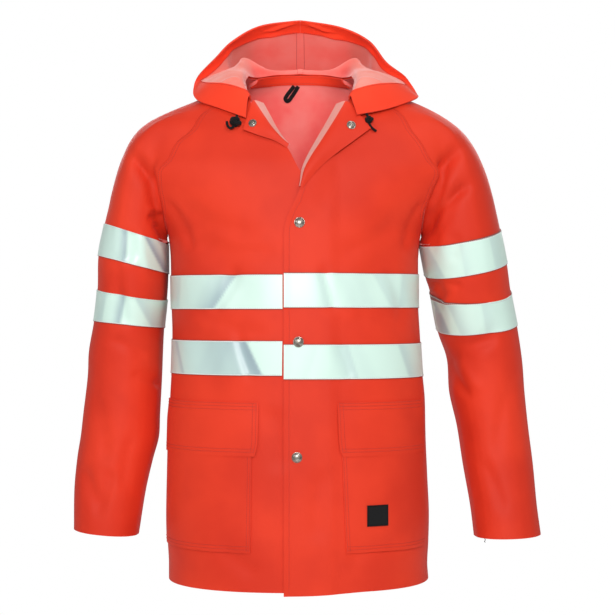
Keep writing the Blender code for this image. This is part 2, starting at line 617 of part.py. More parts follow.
def sleeve_surface(side):
    rows = SLEEVES[side]
    loop = seam_loop(side)
    facing = 1 if side == "left" else -1

    def start(turn):
        return folded_body(*loop(turn))

    def bare(turn, index):
        """index -1..0 is the shoulder, from the seam to the first ring."""
        tube = ring_point(side, rows, turn, np.maximum(index, 0))
        seam = start(turn)
        normal = body_normal(*loop(turn))
        step = 0.25
        ahead, behind = start(turn + step), start(turn - step)
        across = unit(np.cross(unit(ahead - behind), normal))
        if side == "left":
            across = -across
        low = ease((np.abs(turn) - 1.9) / 1.0)[..., None]
        high = ease(SHOULDER_REACH - np.abs(turn))[..., None]
        level = 1 - SHOULDER_CALM * ease((1.8 - np.abs(turn)) / 0.9)
        across = unit(across * np.stack([1 + 0 * turn, level, 1 + 0 * turn], axis=-1))
        aim_x, aim_z = SHOULDER_AIM[side]
        slope = unit(np.stack([aim_x - seam[..., 0], 0 * turn, aim_z - seam[..., 2]], axis=-1))
        leave = unit(across * (1 - high) + slope * high + normal * low * ARMPIT_SPLAY)
        seam = seam + across * SEAM + normal * low * ARMPIT_GAP
        first = ring_point(side, rows, turn, np.zeros_like(turn))
        beyond = ring_point(side, rows, turn, np.full_like(turn, 0.5))
        arrive = unit(first - beyond)
        chord = np.linalg.norm(first - seam, axis=-1, keepdims=True)
        top = ease((np.cos(turn) + 0.2) / 1.2)[..., None]
        pull = chord * (UNDERARM_PULL + (SHOULDER_PULL[side] - UNDERARM_PULL) * top)
        t = np.clip(index + 1, 0, 1)[..., None]
        shoulder = (
            seam * (1 - t) ** 3
            + 3 * (seam + leave * pull) * t * (1 - t) ** 2
            + 3 * (first + arrive * pull) * t * t * (1 - t)
            + first * t**3
        )
        return np.where(index[..., None] < 0, shoulder, tube)

    def folded(turn, index):
        point = bare(turn, index)
        inside = np.clip(index, -0.999, len(rows) - 1.001)
        depth = fold_depth(f"sleeve_{side}", point, np.sin(turn)) * ease((index + 1) / 0.12)
        return point + outward(bare, turn, inside, facing) * depth[..., None]

    def surface(turn, index, out=0.0):
        point = folded(turn, index)
        inside = np.clip(index, -0.999, len(rows) - 1.001)
        normal = outward(folded, turn, inside, facing)
        shared = body_normal(*loop(turn))
        agree = ease(np.sum(normal * shared, axis=-1, keepdims=True) / 0.7)
        agree = agree * (1 - ease((index[..., None] + 1) / 0.16))
        normal = unit(normal * (1 - agree) + shared * agree)
        return point + normal * np.expand_dims(out + 0 * turn, -1)

    return surface


# ---------------------------------------------------------------- hood


def neckline(share):
    """The neckline's angle and height, from the lapel (0) to the back middle (1)."""
    station = share * (len(NECKLINE_ROWS) - 1)
    places = np.arange(len(NECKLINE_ROWS))
    angle = smooth(places, column(NECKLINE, NECKLINE_ROWS, "angle"), station)
    return np.radians(angle), smooth(places, column(NECKLINE, NECKLINE_ROWS, "height"), station)


def hood_surface(side):
    rows = HOODS[side]
    sign = np.array([1 if side == "left" else -1, 1, 1])
    along = column(HOOD, rows, "along")
    facing = column(HOOD, rows, "facing")
    stations = np.array([row[2:] for row in rows], float)

    def bare(share, across):
        """share runs along the neckline, across from the neck seam to the free edge."""
        turn_in = smooth(along, facing, share)
        outer = turn_in + (1 - turn_in) * (across - FACING_START) / (1 - FACING_START)
        across = np.where(across < FACING_START, across / FACING_START * turn_in, outer)
        index = smooth(along, np.arange(len(rows)), share)
        angle, height = neckline(share)
        ahead, behind = body(*neckline(share + 0.01)), body(*neckline(share - 0.01))
        away = unit(np.cross(body_normal(angle, height), unit(ahead - behind)))
        seam = body(angle, height) + away * NECK_GAP
        points = flowing(stations, index)
        run = np.concatenate([seam[None], np.moveaxis(points, -2, 0)])
        last = len(run) - 1
        t = across * last
        k = np.clip(np.floor(t).astype(int), 0, last - 1)
        f = (t - k)[..., None]
        pick = np.arange(len(t))
        full = np.concatenate([(2 * run[0] - run[1])[None], run, (2 * run[-1] - run[-2])[None]])
        a, b, c, d = full[k, pick], full[k + 1, pick], full[k + 2, pick], full[k + 3, pick]
        square, cube = 2 * a - 5 * b + 4 * c - d, 3 * b - a - 3 * c + d
        return 0.5 * (2 * b + (c - a) * f + square * f**2 + cube * f**3)

    def surface(share, across, out=0.0):
        inner_share = np.clip(share, 0.001, 0.999)
        normal = outward(bare, inner_share, np.clip(across, 0.001, 0.999))
        point = bare(share, across) + normal * np.expand_dims(out + 0 * share, -1)
        point[..., 0] = np.maximum(point[..., 0], CENTRE_GAP)
        return point * sign

    return surface


# ---------------------------------------------------------------- lapels


def lapel_surface(side):
    rows = LAPELS[side]
    sign = 1 if side == "left" else -1
    value = {name: column(LAPEL, rows, name) for name in LAPEL}

    def on_front(x, height, rise):
        angle = angle_at(x, height)
        return folded_body(angle, height) + body_normal(angle, height) * rise[:, None]

    roll = on_front(value["roll_x"], value["roll_z"], value["rise"])
    edge = on_front(value["edge_x"], value["edge_z"], value["stand"])
    inward = np.stack([-0.55 * sign * value["turn_in"], value["turn_in"], -0.2 * value["turn_in"]], axis=-1)
    wide = np.clip(np.linalg.norm(edge - roll, axis=-1, keepdims=True) / LAPEL_TIP, 0, 1)
    middle = (roll + edge) / 2 + np.array([0, -0.0022, 0.001]) * wide**2
    stations = np.stack([roll + inward, roll, middle, edge], axis=1)

    def bare(station, across):
        run = np.moveaxis(flowing(stations, station), -2, 0)
        full = np.concatenate([(2 * run[0] - run[1])[None], run, (2 * run[-1] - run[-2])[None]])
        k = np.clip(np.floor(across).astype(int), 0, len(run) - 2)
        f = (across - k)[..., None]
        pick = np.arange(len(across))
        a, b, c, d = full[k, pick], full[k + 1, pick], full[k + 2, pick], full[k + 3, pick]
        square, cube = 2 * a - 5 * b + 4 * c - d, 3 * b - a - 3 * c + d
        return 0.5 * (2 * b + (c - a) * f + square * f**2 + cube * f**3)

    def surface(station, across, out=0.0):
        inside = np.clip(station, 0.001, len(rows) - 1.001)
        normal = outward(bare, inside, np.clip(across, 0.001, 2.999), sign)
        thin = 1 - LAPEL_THINS * ease(station - (len(rows) - 2.2))
        return bare(station, across) + normal * np.expand_dims(out * np.where(out < 0, thin, 1), -1)

    return surface


# ---------------------------------------------------------------- making pieces


def material(name, colour, rough, metal=0.0):
    made = bpy.data.materials.new(name)
    made.use_nodes = True
    shader = made.node_tree.nodes["Principled BSDF"]
    shader.inputs["Base Color"].default_value = (*colour, 1)
    shader.inputs["Roughness"].default_value = rough
    shader.inputs["Metallic"].default_value = metal
    return made


CLOTH = material("coated_cloth", (0.83, 0.065, 0.032), 0.45)
REFLECTIVE = material("reflective_tape", (0.72, 0.92, 0.82), 0.35)
NICKEL = material("antique_nickel", (0.32, 0.29, 0.25), 0.35, 1.0)
BLACK = material("black_trim", (0.012, 0.012, 0.013), 0.8)


def add_object(name, bm, made_of):
    mesh = bpy.data.meshes.new(name)
    bmesh.ops.recalc_face_normals(bm, faces=bm.faces)
    bm.to_mesh(mesh)
    bm.free()
    mesh.materials.append(made_of)
    thing = bpy.data.objects.new(name, mesh)
    bpy.context.scene.collection.objects.link(thing)
    return thing


def wall(name, made_of, surface, columns, rows, out=0.0, thick=WALL, closed=False):
    """A cloth piece: the surface's points moved out, and again thick further in."""
    bm = bmesh.new()
    bmesh.ops.create_grid(bm, x_segments=len(columns) - 1, y_segments=len(rows) - 1, size=0.5)
    tag = bm.verts.layers.int.new("point")
    across, along = np.meshgrid(np.array(columns, float), np.array(rows, float))
    across, along = across.ravel(), along.ravel()
    far = surface(across, along, out)
    near = surface(across, along, out - thick)
    for index, vert in enumerate(bm.verts):
        vert.co = far[index]
        vert[tag] = index
    if closed:
        bmesh.ops.remove_doubles(bm, verts=bm.verts, dist=1e-5)
    made = bmesh.ops.extrude_face_region(bm, geom=bm.faces[:], use_keep_orig=True)
    for part in made["geom"]:
        if isinstance(part, bmesh.types.BMVert):
            part.co = near[part[tag]]
    return add_object(name, bm, made_of)


def turned(name, made_of, profile, centre, normal, steps=16, ring=False):
    """A small round part, spun from (radius, height) pairs about its own axis."""
    axis = unit(np.array(normal, float))
    side = unit(np.cross(axis, np.array([0.0, 0.0, 1.0])))
    other = np.cross(axis, side)
    bm = bmesh.new()
    rings = []
    for radius, height in profile:
        middle = np.array(centre) + axis * height
        if radius == 0:
            rings.append([bm.verts.new(middle)])
            continue
        turns = [2 * math.pi * k / steps for k in range(steps)]
        spokes = [side * math.cos(a) + other * math.sin(a) for a in turns]
        rings.append([bm.verts.new(middle + radius * spoke) for spoke in spokes])
    for lower, upper in zip(rings, [*rings[1:], rings[0]] if ring else rings[1:]):
        for k in range(steps):
            corners = [lower[k % len(lower)], lower[(k + 1) % len(lower)]]
            corners += [upper[(k + 1) % len(upper)], upper[k % len(upper)]]
            corners = list(dict.fromkeys(corners))
            bm.faces.new(corners)
    return add_object(name, bm, made_of)


def subrange(values, start, stop):
    return [value for value in values if start - 1e-6 <= value <= stop + 1e-6]


# ---------------------------------------------------------------- body panels


def body_rows(tapes, extra=()):
    marks = [HEM, -0.690, POCKET_BOTTOM, -0.556, FLAP_BOTTOM, -0.510, POCKET_TOP, FLAP_TOP]
    for top in tapes.values():
        marks += [top, top - TAPE_WIDTH]
    return sorted({*marks, -0.235, *extra})


LEFT_ROWS = body_rows(LEFT_TAPES, (LABEL_BOTTOM, LABEL_TOP, *FRONT_STATIONS))
RIGHT_ROWS = body_rows(RIGHT_TAPES, (-0.607, *FRONT_STATIONS))
BACK_ROWS = body_rows(LEFT_TAPES, (-0.607, *BACK_STATIONS))
BACK_COLUMNS = tuple(step / 16 for step in range(17))

FRONTS = {
    "left": (front_surface("left"), LEFT_COLUMNS, LEFT_ROWS, LEFT_TAPES, 0, LEFT_POCKET_EDGE),
    "right": (
        front_surface("right"), RIGHT_COLUMNS, RIGHT_ROWS, RIGHT_TAPES, RIGHT_TAPE_START, RIGHT_POCKET_EDGE,
    ),
}


def share_at(side, x, height):
    """The share of the way from a front's inner edge to its side at which it has this x."""
    start, stop = inner_limit(side, height), side_limit(side, height)
    return (angle_at(x, height) - start) / (stop - start)


def sewn_on(side, slant):
    """A front's surface, drawn so that a pocket or a flap has its slanting inner edge."""
    surface, columns, _, _, _, edge = FRONTS[side]
    edge = FLAP_COLUMN[side] if slant is FLAP_SLANT else edge
    beside = min(column for column in columns if column > edge + 1e-6) - edge

    def slanted(share, height, out=0.0):
        x = smooth(column(SLANT, slant, "height"), column(SLANT, slant, side), height)
        move = (share_at(side, x, height) - edge) * np.clip(1 - (share - edge) / beside, 0, 1)
        over = 0.0
        if slant is FLAP_SLANT:  # a flap lies over the pocket's top
            over = (WALL + SEAM) * (1 - ease((height - POCKET_TOP) / (FLAP_TOP - POCKET_TOP)))
        return surface(share + move, height, out + over)

    return slanted


def build_fronts():
    for side, (surface, columns, rows, tapes, tape_start, pocket_edge) in FRONTS.items():
        wall(f"front_{side}", CLOTH, surface, columns, rows)
        pocket_columns = subrange(columns[:POCKET_SIDE + len(columns) + 1], pocket_edge, 1)
        pocket_rows = subrange(rows, POCKET_BOTTOM, POCKET_TOP)
        wall(f"pocket_{side}", CLOTH, sewn_on(side, POCKET_SLANT), pocket_columns, pocket_rows, SEAM + WALL)
        flap_rows = subrange(rows, FLAP_BOTTOM, FLAP_TOP)
        flap_columns = subrange(columns[:POCKET_SIDE + len(columns) + 1], FLAP_COLUMN[side], 1)
        wall(f"flap_{side}", CLOTH, sewn_on(side, FLAP_SLANT), flap_columns, flap_rows, SEAM + WALL)
        for name, top in tapes.items():
            tape_rows = subrange(rows, top - TAPE_WIDTH, top)
            tape_columns = subrange(columns, tape_start, 1)
            piece = f"tape_{name}_front_{side}"
            wall(piece, REFLECTIVE, surface, tape_columns, tape_rows, SEAM + TAPE, TAPE)


def build_back():
    wall("back", CLOTH, back_surface, BACK_COLUMNS, BACK_ROWS)
    for name, top in LEFT_TAPES.items():
        tape_rows = subrange(BACK_ROWS, top - TAPE_WIDTH, top)
        wall(f"tape_{name}_back", REFLECTIVE, back_surface, BACK_COLUMNS, tape_rows, SEAM + TAPE, TAPE)


def build_sleeves():
    for side, rows in SLEEVES.items():
        surface = sleeve_surface(side)
        turns = sleeve_turns(side)
        stations = [*(value - 1 for value in SHOULDER_ROWS), *range(len(rows))]
        wall(f"sleeve_{side}", CLOTH, surface, turns, stations, closed=True)
        for name, (start, stop) in SLEEVE_TAPES.items():
            tape_rows = subrange(stations, start, stop)
            piece = f"tape_{name}_sleeve_{side}"
            wall(piece, REFLECTIVE, surface, turns, tape_rows, SEAM + TAPE, TAPE, True)


def build_hood():
    facing_rows = subrange(HOOD_ACROSS, FACING_START, 1)
    for side in HOODS:
        surface = hood_surface(side)
        wall(f"hood_{side}", CLOTH, surface, HOOD_ALONG, HOOD_ACROSS)
        wall(f"hood_facing_{side}", CLOTH, surface, HOOD_ALONG, facing_rows, -WALL - SEAM, FACING)
    band_rows = BACK_STATIONS[-2:]
    wall("neck_band", CLOTH, back_surface, BACK_COLUMNS, band_rows, -WALL - SEAM, FACING)


def build_lapels():
    for side, rows in LAPELS.items():
        surface = lapel_surface(side)
        stations = [step / 2 for step in range(2 * len(rows) - 1)]
        wall(f"lapel_{side}", CLOTH, surface, stations, LAPEL_ACROSS, thick=LAPEL_PLY)
        station, across, radius = RING_SNAPS[side]
        place = (np.array([station]), np.array([across]))
        centre = surface(*place, SEAM * 2)[0]
        normal = surface(*place, 1.0)[0] - surface(*place, 0.0)[0]
        profile = [(share * radius, height) for share, height in RING_PROFILE]
        turned(f"ring_snap_{side}", NICKEL, profile, centre, normal, 14)


def build_snaps():
    surface = FRONTS["left"][0]
    profile = [(share * SNAP_RADIUS, height) for share, height in CAP_PROFILE]
    for name, (x, height) in SNAPS.items():
        place = (share_at("left", np.array([x]), np.array([height])), np.array([height]))
        normal = surface(*place, 1.0)[0] - surface(*place, 0.0)[0]
        seat = 2 * SEAM + (TAPE + SEAM if name == "middle" else 0)  # the middle one sits on the tape
        turned(f"snap_{name}", NICKEL, profile, surface(*place, seat)[0], normal)


def build_patch():
    surface, columns, rows = FRONTS["left"][:3]
    patch_columns = subrange(columns, *LEFT_LABEL)
    patch_rows = subrange(rows, LABEL_BOTTOM, LABEL_TOP)
    wall("pocket_patch", BLACK, surface, patch_columns, patch_rows, WALL + 2 * SEAM + TAPE, TAPE)


def build_hanger():
    points = np.array(HANGER)

    def surface(station, across, out=0.0):
        middle = flowing(points, station)
        run = flowing(points, station + 0.01) - flowing(points, station - 0.01)
        aside = unit(np.stack([-run[..., 1], run[..., 0]], axis=-1))
        place = middle + aside * (across * HANGER_WIDTH)[..., None]
        turn = math.pi - angle_at(place[..., 0], place[..., 1])
        inside = body(turn, place[..., 1])[..., 1] - HANGER_GAP
        return np.stack([place[..., 0], inside - out, place[..., 1]], axis=-1)

    stations = [step / 2 for step in range(2 * len(points) - 1)]
    wall("hanger_loop", BLACK, surface, stations, (-0.5, 0.5), thick=HANGER_PLY)


def build_drawcord():
    for side, steps in CORDS.items():
        hood = hood_surface(side)
        share, edge = np.array([CORD_EXIT[side]]), np.array([1.0])
        run = unit(hood(share, edge, -WALL)[0] - hood(share, edge - 0.02, -WALL)[0])
        points = hood(share, edge, -WALL)[0] + run * CORD_GAP + np.array(steps)
        curve = bpy.data.curves.new(f"drawcord_{side}", "CURVE")
        curve.dimensions = "3D"
        curve.bevel_depth = CORD_RADIUS
        curve.bevel_resolution = 2
        curve.use_fill_caps = True
        line = flowing(points, np.linspace(0, len(points) - 1, 2 * len(points) - 1))
        spline = curve.splines.new("POLY")
        spline.points.add(len(line) - 1)
        for spot, point in zip(spline.points, line):
            spot.co = (*point, 1)
        curve.materials.append(BLACK)
        cord = bpy.data.objects.new(f"drawcord_{side}", curve)
        bpy.context.scene.collection.objects.link(cord)
        coil = [math.pi * 2 * step / 8 for step in range(8)]
        radius, thick = KNOT_RING[side], KNOT_COIL[side]
        profile = [(radius + thick * math.cos(a), 1.35 * thick * math.sin(a)) for a in coil]
        run = points[KNOT_AT + 1] - points[KNOT_AT - 1]
        turned(f"knot_{side}", BLACK, profile, points[KNOT_AT], run, 12, True)


build_fronts()
build_back()
build_sleeves()
build_hood()
build_lapels()
build_snaps()
build_patch()
build_hanger()
build_drawcord()
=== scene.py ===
"""Hi-vis work jacket: the cloth, tapes, sewing, snaps and drawcord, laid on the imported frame.

Metres, +Z up, the front faces -Y, +X is the wearer's left.
"""

import math

import bmesh
import bpy
import numpy as np
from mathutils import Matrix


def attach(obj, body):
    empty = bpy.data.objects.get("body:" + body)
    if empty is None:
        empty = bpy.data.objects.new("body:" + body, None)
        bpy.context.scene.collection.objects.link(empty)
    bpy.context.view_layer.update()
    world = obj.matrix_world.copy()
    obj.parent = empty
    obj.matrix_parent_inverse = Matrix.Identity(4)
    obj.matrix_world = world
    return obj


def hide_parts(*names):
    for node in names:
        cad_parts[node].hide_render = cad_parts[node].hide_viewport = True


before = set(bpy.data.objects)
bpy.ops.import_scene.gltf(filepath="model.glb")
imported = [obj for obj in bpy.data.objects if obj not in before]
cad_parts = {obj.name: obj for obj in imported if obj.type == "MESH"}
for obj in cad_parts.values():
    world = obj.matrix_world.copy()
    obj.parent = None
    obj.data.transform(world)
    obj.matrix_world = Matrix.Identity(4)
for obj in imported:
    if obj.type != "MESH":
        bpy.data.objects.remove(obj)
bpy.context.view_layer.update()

# ---------------------------------------------------------------- sizes
WALL = 0.0014  # cloth with its coating
SEAM = 0.0003  # gap between pieces that are sewn together
TAPE = 0.001  # reflective tape
FACING = 0.0012  # hood facing and neck band
ROUND = 2 / 2.4  # power that squares the body's level sections
SEAM_TURN = SEAM / 2 / 0.19  # half a seam's gap, as an angle round a body 0.19 m from its middle to its side
SIGN = {"left": 1, "right": -1}  # which way each side lies from the middle
NORMAL_STEP = 1e-4  # between the places whose difference gives a surface's normal

# The body, a row for each level section: half widths at the wearer's right and
# left, depth in front of and behind the side line.
BODY = ("height", "right", "left", "front", "back")
BODY_ROWS = (
    (-0.712, 0.1955, 0.1915, 0.15, 0.136),
    (-0.69, 0.1955, 0.19, 0.15, 0.136),
    (-0.66, 0.197, 0.1915, 0.15, 0.136),
    (-0.62, 0.198, 0.1925, 0.149, 0.135),
    (-0.56, 0.197, 0.19, 0.147, 0.132),
    (-0.5, 0.1955, 0.1875, 0.145, 0.129),
    (-0.45, 0.194, 0.1865, 0.143, 0.126),
    (-0.4, 0.1915, 0.182, 0.141, 0.123),
    (-0.35, 0.1905, 0.179, 0.139, 0.122),
    (-0.3, 0.192, 0.1765, 0.137, 0.123),
    (-0.24, 0.193, 0.1765, 0.133, 0.125),
    (-0.205, 0.1965, 0.18, 0.131, 0.127),
    (-0.18, 0.209, 0.193, 0.129, 0.128),
    (-0.155, 0.229, 0.215, 0.126, 0.129),
    (-0.13, 0.251, 0.242, 0.123, 0.129),
    (-0.105, 0.2665, 0.264, 0.119, 0.128),
    (-0.08, 0.266, 0.265, 0.111, 0.125),
    (-0.0585, 0.257, 0.257, 0.104, 0.121),
    (-0.0426, 0.24, 0.2435, 0.098, 0.118),
    (-0.0285, 0.214, 0.2205, 0.09, 0.114),
    (-0.017, 0.191, 0.193, 0.082, 0.111),
    (-0.0045, 0.164, 0.169, 0.072, 0.107),
    (0.012, 0.129, 0.131, 0.056, 0.101),
    (0.024, 0.101, 0.102, 0.042, 0.096),
    (0.0345, 0.0775, 0.0775, 0.025, 0.091),
    (0.042, 0.0735, 0.0735, 0.015, 0.088),
    (0.05, 0.069, 0.069, 0.01, 0.085),
)

# Where the side seams run, as angles round the body from the front centre.
SIDE_SEAM = {"right": math.radians(-90), "left": math.radians(74)}
SIDE_SEAM_SETTLES = -0.262  # height below which a side seam keeps its angle
UNDERARM = -0.205  # height at which the raglan seams meet the side seams
NECK_CORNER = 0.012  # height of the front raglan seam's neck end
BACK_CORNER = 0.04  # height of the back raglan seam's neck end
BACK_NECK_RISE = 0.01  # the back neck's middle above its corners

# Raglan seams, a row for each height: distance from the middle on each side.
RAGLAN = ("height", "right", "left")
FRONT_RAGLAN = (
    (-0.205, 0.1965, 0.18),
    (-0.18, 0.199, 0.1805),
    (-0.155, 0.202, 0.187),
    (-0.137, 0.205, 0.1935),
    (-0.117, 0.206, 0.201),
    (-0.098, 0.19, 0.188),
    (-0.075, 0.179, 0.176),
    (-0.055, 0.156, 0.161),
    (-0.032, 0.143, 0.149),
    (-0.012, 0.116, 0.12),
    (0.012, 0.08, 0.08),
)
BACK_RAGLAN = (
    (-0.205, 0.1965, 0.18),
    (-0.18, 0.203, 0.1875),
    (-0.15, 0.201, 0.192),
    (-0.12, 0.196, 0.193),
    (-0.09, 0.182, 0.182),
    (-0.06, 0.166, 0.166),
    (-0.032, 0.148, 0.148),
    (-0.005, 0.123, 0.123),
    (0.01, 0.1072, 0.1066),
    (0.02, 0.092, 0.0912),
    (0.025, 0.083, 0.0824),
    (0.03, 0.0738, 0.0736),
    (0.035, 0.0672, 0.0672),
    (0.04, 0.0651, 0.0651),
)

# Heights at which the panels and the sleeves share a point of the raglan seams.
FRONT_STATIONS = (
    -0.205, -0.194, -0.18, -0.155, -0.135, -0.117, -0.098, -0.075, -0.055, -0.032, -0.01, 0.0112,
)
BACK_STATIONS = (
    -0.205, -0.194, -0.18, -0.15, -0.12, -0.09, -0.06, -0.032, -0.005, 0.018, 0.028, 0.0395,
)

# The fronts' inner edges: x at each height, up the placket, the roll line and
# the neck. The left front lies over; the right front runs on under it.
EDGE = ("height", "x")
LEFT_EDGE = (
    (-0.712, -0.022),
    (-0.205, -0.022),
    (-0.181, -0.0162),
    (-0.157, -0.005),
    (-0.14, 0.002),
    (-0.116, 0.011),
    (-0.078, 0.036),
    (-0.012, 0.0722),
    (0.012, 0.08),
)
RIGHT_EDGE = (
    (-0.712, 0.02),
    (-0.16, 0.02),
    (-0.135, 0.015),
    (-0.116, 0.0000),
    (-0.081, -0.019),
    (-0.038, -0.0585),
    (-0.012, -0.0722),
    (0.012, -0.08),
)
EDGES = {"left": LEFT_EDGE, "right": RIGHT_EDGE}

# The folds and creases, for each cloth and face (1 front, -1 back), a row for
# each: both ends as x and height seen from the front, the sideways bend of its
# line, half its width and how deep it is (a ridge is negative).
FOLDS = {
    ("sleeve_right", 1): (
        (-0.255, -0.072, -0.204, -0.225, 0.016, 0.012, 0.0068),
        (-0.236, -0.11, -0.214, -0.235, 0.012, 0.011, -0.0032),
        (-0.268, -0.225, -0.27, -0.35, 0.002, 0.01, 0.004),
        (-0.325, -0.54, -0.29, -0.625, 0.004, 0.011, 0.004),
        (-0.257, -0.084, -0.19, -0.229, 0.0215, 0.0066, 0.005),
        (-0.244, -0.076, -0.202, -0.15, 0.012, 0.0062, -0.0009),
        (-0.224, -0.179, -0.19, -0.185, 0.002, 0.0062, 0.0042),
        (-0.226, -0.169, -0.19, -0.174, 0.002, 0.0062, -0.0028),
        (-0.213, -0.186, -0.201, -0.22, 0.004, 0.0062, 0.004),
        (-0.246, -0.195, -0.251, -0.256, 0.002, 0.008, 0.0028),
        (-0.23, -0.195, -0.22, -0.27, -0.003, 0.0062, -0.002),
        (-0.265, -0.28, -0.252, -0.345, 0.003, 0.008, 0.0032),
        (-0.28, -0.264, -0.226, -0.244, 0.004, 0.007, -0.002),
        (-0.288, -0.356, -0.22, -0.39, 0.006, 0.009, 0.0028),
        (-0.214, -0.43, -0.196, -0.418, 0.001, 0.0062, 0.0037),
        (-0.25, -0.406, -0.205, -0.433, 0.004, 0.007, 0.003),
        (-0.304, -0.43, -0.286, -0.545, 0.005, 0.011, 0.0028),
        (-0.278, -0.545, -0.296, -0.608, 0.005, 0.009, 0.0032),
        (-0.242, -0.49, -0.256, -0.59, -0.006, 0.01, 0.0025),
        (-0.325, -0.21, -0.27, -0.15, 0.008, 0.012, 0.0009),
    ),
    ("sleeve_left", 1): (
        (0.242, -0.062, 0.186, -0.225, -0.016, 0.012, 0.0072),
        (0.254, -0.12, 0.192, -0.24, -0.012, 0.01, 0.0048),
        (0.226, -0.1, 0.206, -0.24, -0.01, 0.01, -0.0032),
        (0.3, -0.33, 0.216, -0.395, 0.006, 0.013, 0.005),
        (0.242, -0.074, 0.173, -0.222, -0.0205, 0.0066, 0.005),
        (0.23, -0.066, 0.19, -0.14, -0.012, 0.0062, -0.0009),
        (0.26, -0.127, 0.179, -0.219, -0.015, 0.0063, 0.0042),
        (0.252, -0.142, 0.19, -0.223, -0.011, 0.0062, -0.0009),
        (0.208, -0.12, 0.18, -0.188, -0.007, 0.0062, -0.001),
        (0.186, -0.268, 0.216, -0.305, 0.003, 0.0071, 0.006),
        (0.188, -0.283, 0.226, -0.308, 0.002, 0.0062, -0.0032),
        (0.195, -0.286, 0.212, -0.32, -0.002, 0.0062, 0.004),
        (0.196, -0.276, 0.24, -0.283, 0.002, 0.0062, 0.0028),
        (0.228, -0.2, 0.222, -0.248, 0.002, 0.008, 0.0022),
        (0.212, -0.362, 0.3, -0.356, -0.006, 0.009, 0.003),
        (0.22, -0.38, 0.256, -0.45, -0.005, 0.007, 0.0045),
        (0.232, -0.37, 0.272, -0.44, -0.005, 0.008, -0.0022),
        (0.315, -0.42, 0.29, -0.54, -0.006, 0.011, 0.0025),
        (0.265, -0.53, 0.3, -0.62, 0.005, 0.01, 0.0028),
        (0.275, -0.15, 0.3, -0.21, 0.005, 0.01, 0.0008),
    ),
    ("sleeve_left", -1): (
        (0.24, -0.07, 0.19, -0.225, -0.014, 0.013, 0.0064),
        (0.23, -0.34, 0.325, -0.4, 0.006, 0.013, 0.005),
        (0.245, -0.08, 0.185, -0.22, -0.015, 0.0062, 0.0019),
        (0.264, -0.14, 0.196, -0.225, -0.012, 0.0062, 0.0015),
        (0.205, -0.3, 0.305, -0.35, 0.005, 0.008, 0.0037),
        (0.325, -0.365, 0.24, -0.41, -0.005, 0.008, 0.0032),
        (0.34, -0.43, 0.255, -0.45, 0.006, 0.009, 0.0025),
        (0.285, -0.5, 0.32, -0.61, 0.006, 0.01, 0.0022),
    ),
    ("sleeve_right", -1): (
        (-0.245, -0.075, -0.2, -0.225, 0.014, 0.013, 0.0064),
        (-0.21, -0.35, -0.31, -0.41, 0.006, 0.013, 0.005),
        (-0.248, -0.085, -0.2, -0.225, 0.015, 0.0062, 0.0019),
        (-0.264, -0.145, -0.206, -0.23, 0.012, 0.0062, 0.0013),
        (-0.208, -0.31, -0.295, -0.345, -0.005, 0.008, 0.0032),
        (-0.31, -0.37, -0.23, -0.415, 0.005, 0.008, 0.0032),
        (-0.295, -0.46, -0.25, -0.57, -0.006, 0.011, 0.0025),
    ),
    ("body", 1): (
        (-0.18, -0.16, -0.07, -0.33, 0.012, 0.022, 0.004),
        (0.165, -0.15, 0.1, -0.32, -0.012, 0.022, 0.0035),
        (-0.15, -0.33, -0.12, -0.47, 0.006, 0.02, 0.003),
        (-0.2, -0.15, -0.155, -0.235, 0.006, 0.007, 0.004),
        (-0.185, -0.145, -0.05, -0.21, -0.012, 0.014, 0.0028),
        (-0.17, -0.215, -0.02, -0.235, -0.006, 0.012, 0.0022),
        (-0.086, -0.25, -0.13, -0.325, 0.004, 0.01, 0.0043),
        (-0.09, -0.335, -0.062, -0.42, -0.003, 0.009, 0.004),
        (-0.155, -0.315, -0.04, -0.35, -0.005, 0.011, 0.0022),
        (0.185, -0.15, 0.152, -0.235, -0.006, 0.007, 0.004),
        (0.145, -0.18, 0.05, -0.235, 0.01, 0.013, 0.0025),
        (0.03, -0.245, 0.048, -0.325, 0.003, 0.008, 0.0025),
        (0.125, -0.25, 0.15, -0.34, 0.004, 0.01, 0.0031),
        (0.05, -0.355, 0.072, -0.42, 0.003, 0.008, 0.0025),
        (0.07, -0.32, 0.16, -0.345, 0.004, 0.01, 0.0022),
        (-0.04, -0.445, -0.03, -0.55, 0.005, 0.014, 0.0022),
        (0.035, -0.53, 0.025, -0.65, -0.005, 0.014, 0.0025),
        (-0.12, -0.635, -0.05, -0.69, -0.006, 0.014, 0.0031),
        (0.06, -0.67, 0.15, -0.645, 0.006, 0.014, 0.0028),
    ),
    ("body", -1): (
        (-0.13, -0.15, -0.09, -0.42, 0.012, 0.034, 0.005),
        (0.13, -0.15, 0.085, -0.42, -0.012, 0.034, 0.005),
        (0.03, -0.42, 0.04, -0.68, 0.01, 0.034, 0.004),
        (-0.175, -0.16, -0.09, -0.245, 0.008, 0.01, 0.005),
        (0.17, -0.155, 0.08, -0.235, -0.008, 0.01, 0.0047),
        (-0.15, -0.28, -0.03, -0.315, -0.008, 0.012, 0.0037),
        (0.15, -0.3, 0.02, -0.345, 0.008, 0.012, 0.004),
        (-0.06, -0.36, 0.08, -0.41, 0.008, 0.013, 0.0034),
        (-0.1, -0.44, -0.08, -0.64, 0.008, 0.015, 0.0037),
        (0.11, -0.43, 0.085, -0.62, -0.008, 0.015, 0.0037),
        (-0.02, -0.12, -0.05, -0.26, 0.008, 0.012, 0.0031),
    ),
}

# Heights of what is sewn on the body.
HEM = -0.712
POCKET_BOTTOM = -0.657
POCKET_TOP = -0.478
FLAP_BOTTOM = -0.5215
FLAP_TOP = -0.445
TAPE_WIDTH = 0.05
LEFT_TAPES = {"upper": -0.262, "lower": -0.363}
RIGHT_TAPES = {"upper": -0.264, "lower": -0.358}
RIGHT_TAPE_START = 0.095  # share of the way from the right front's inner edge at which its tapes start

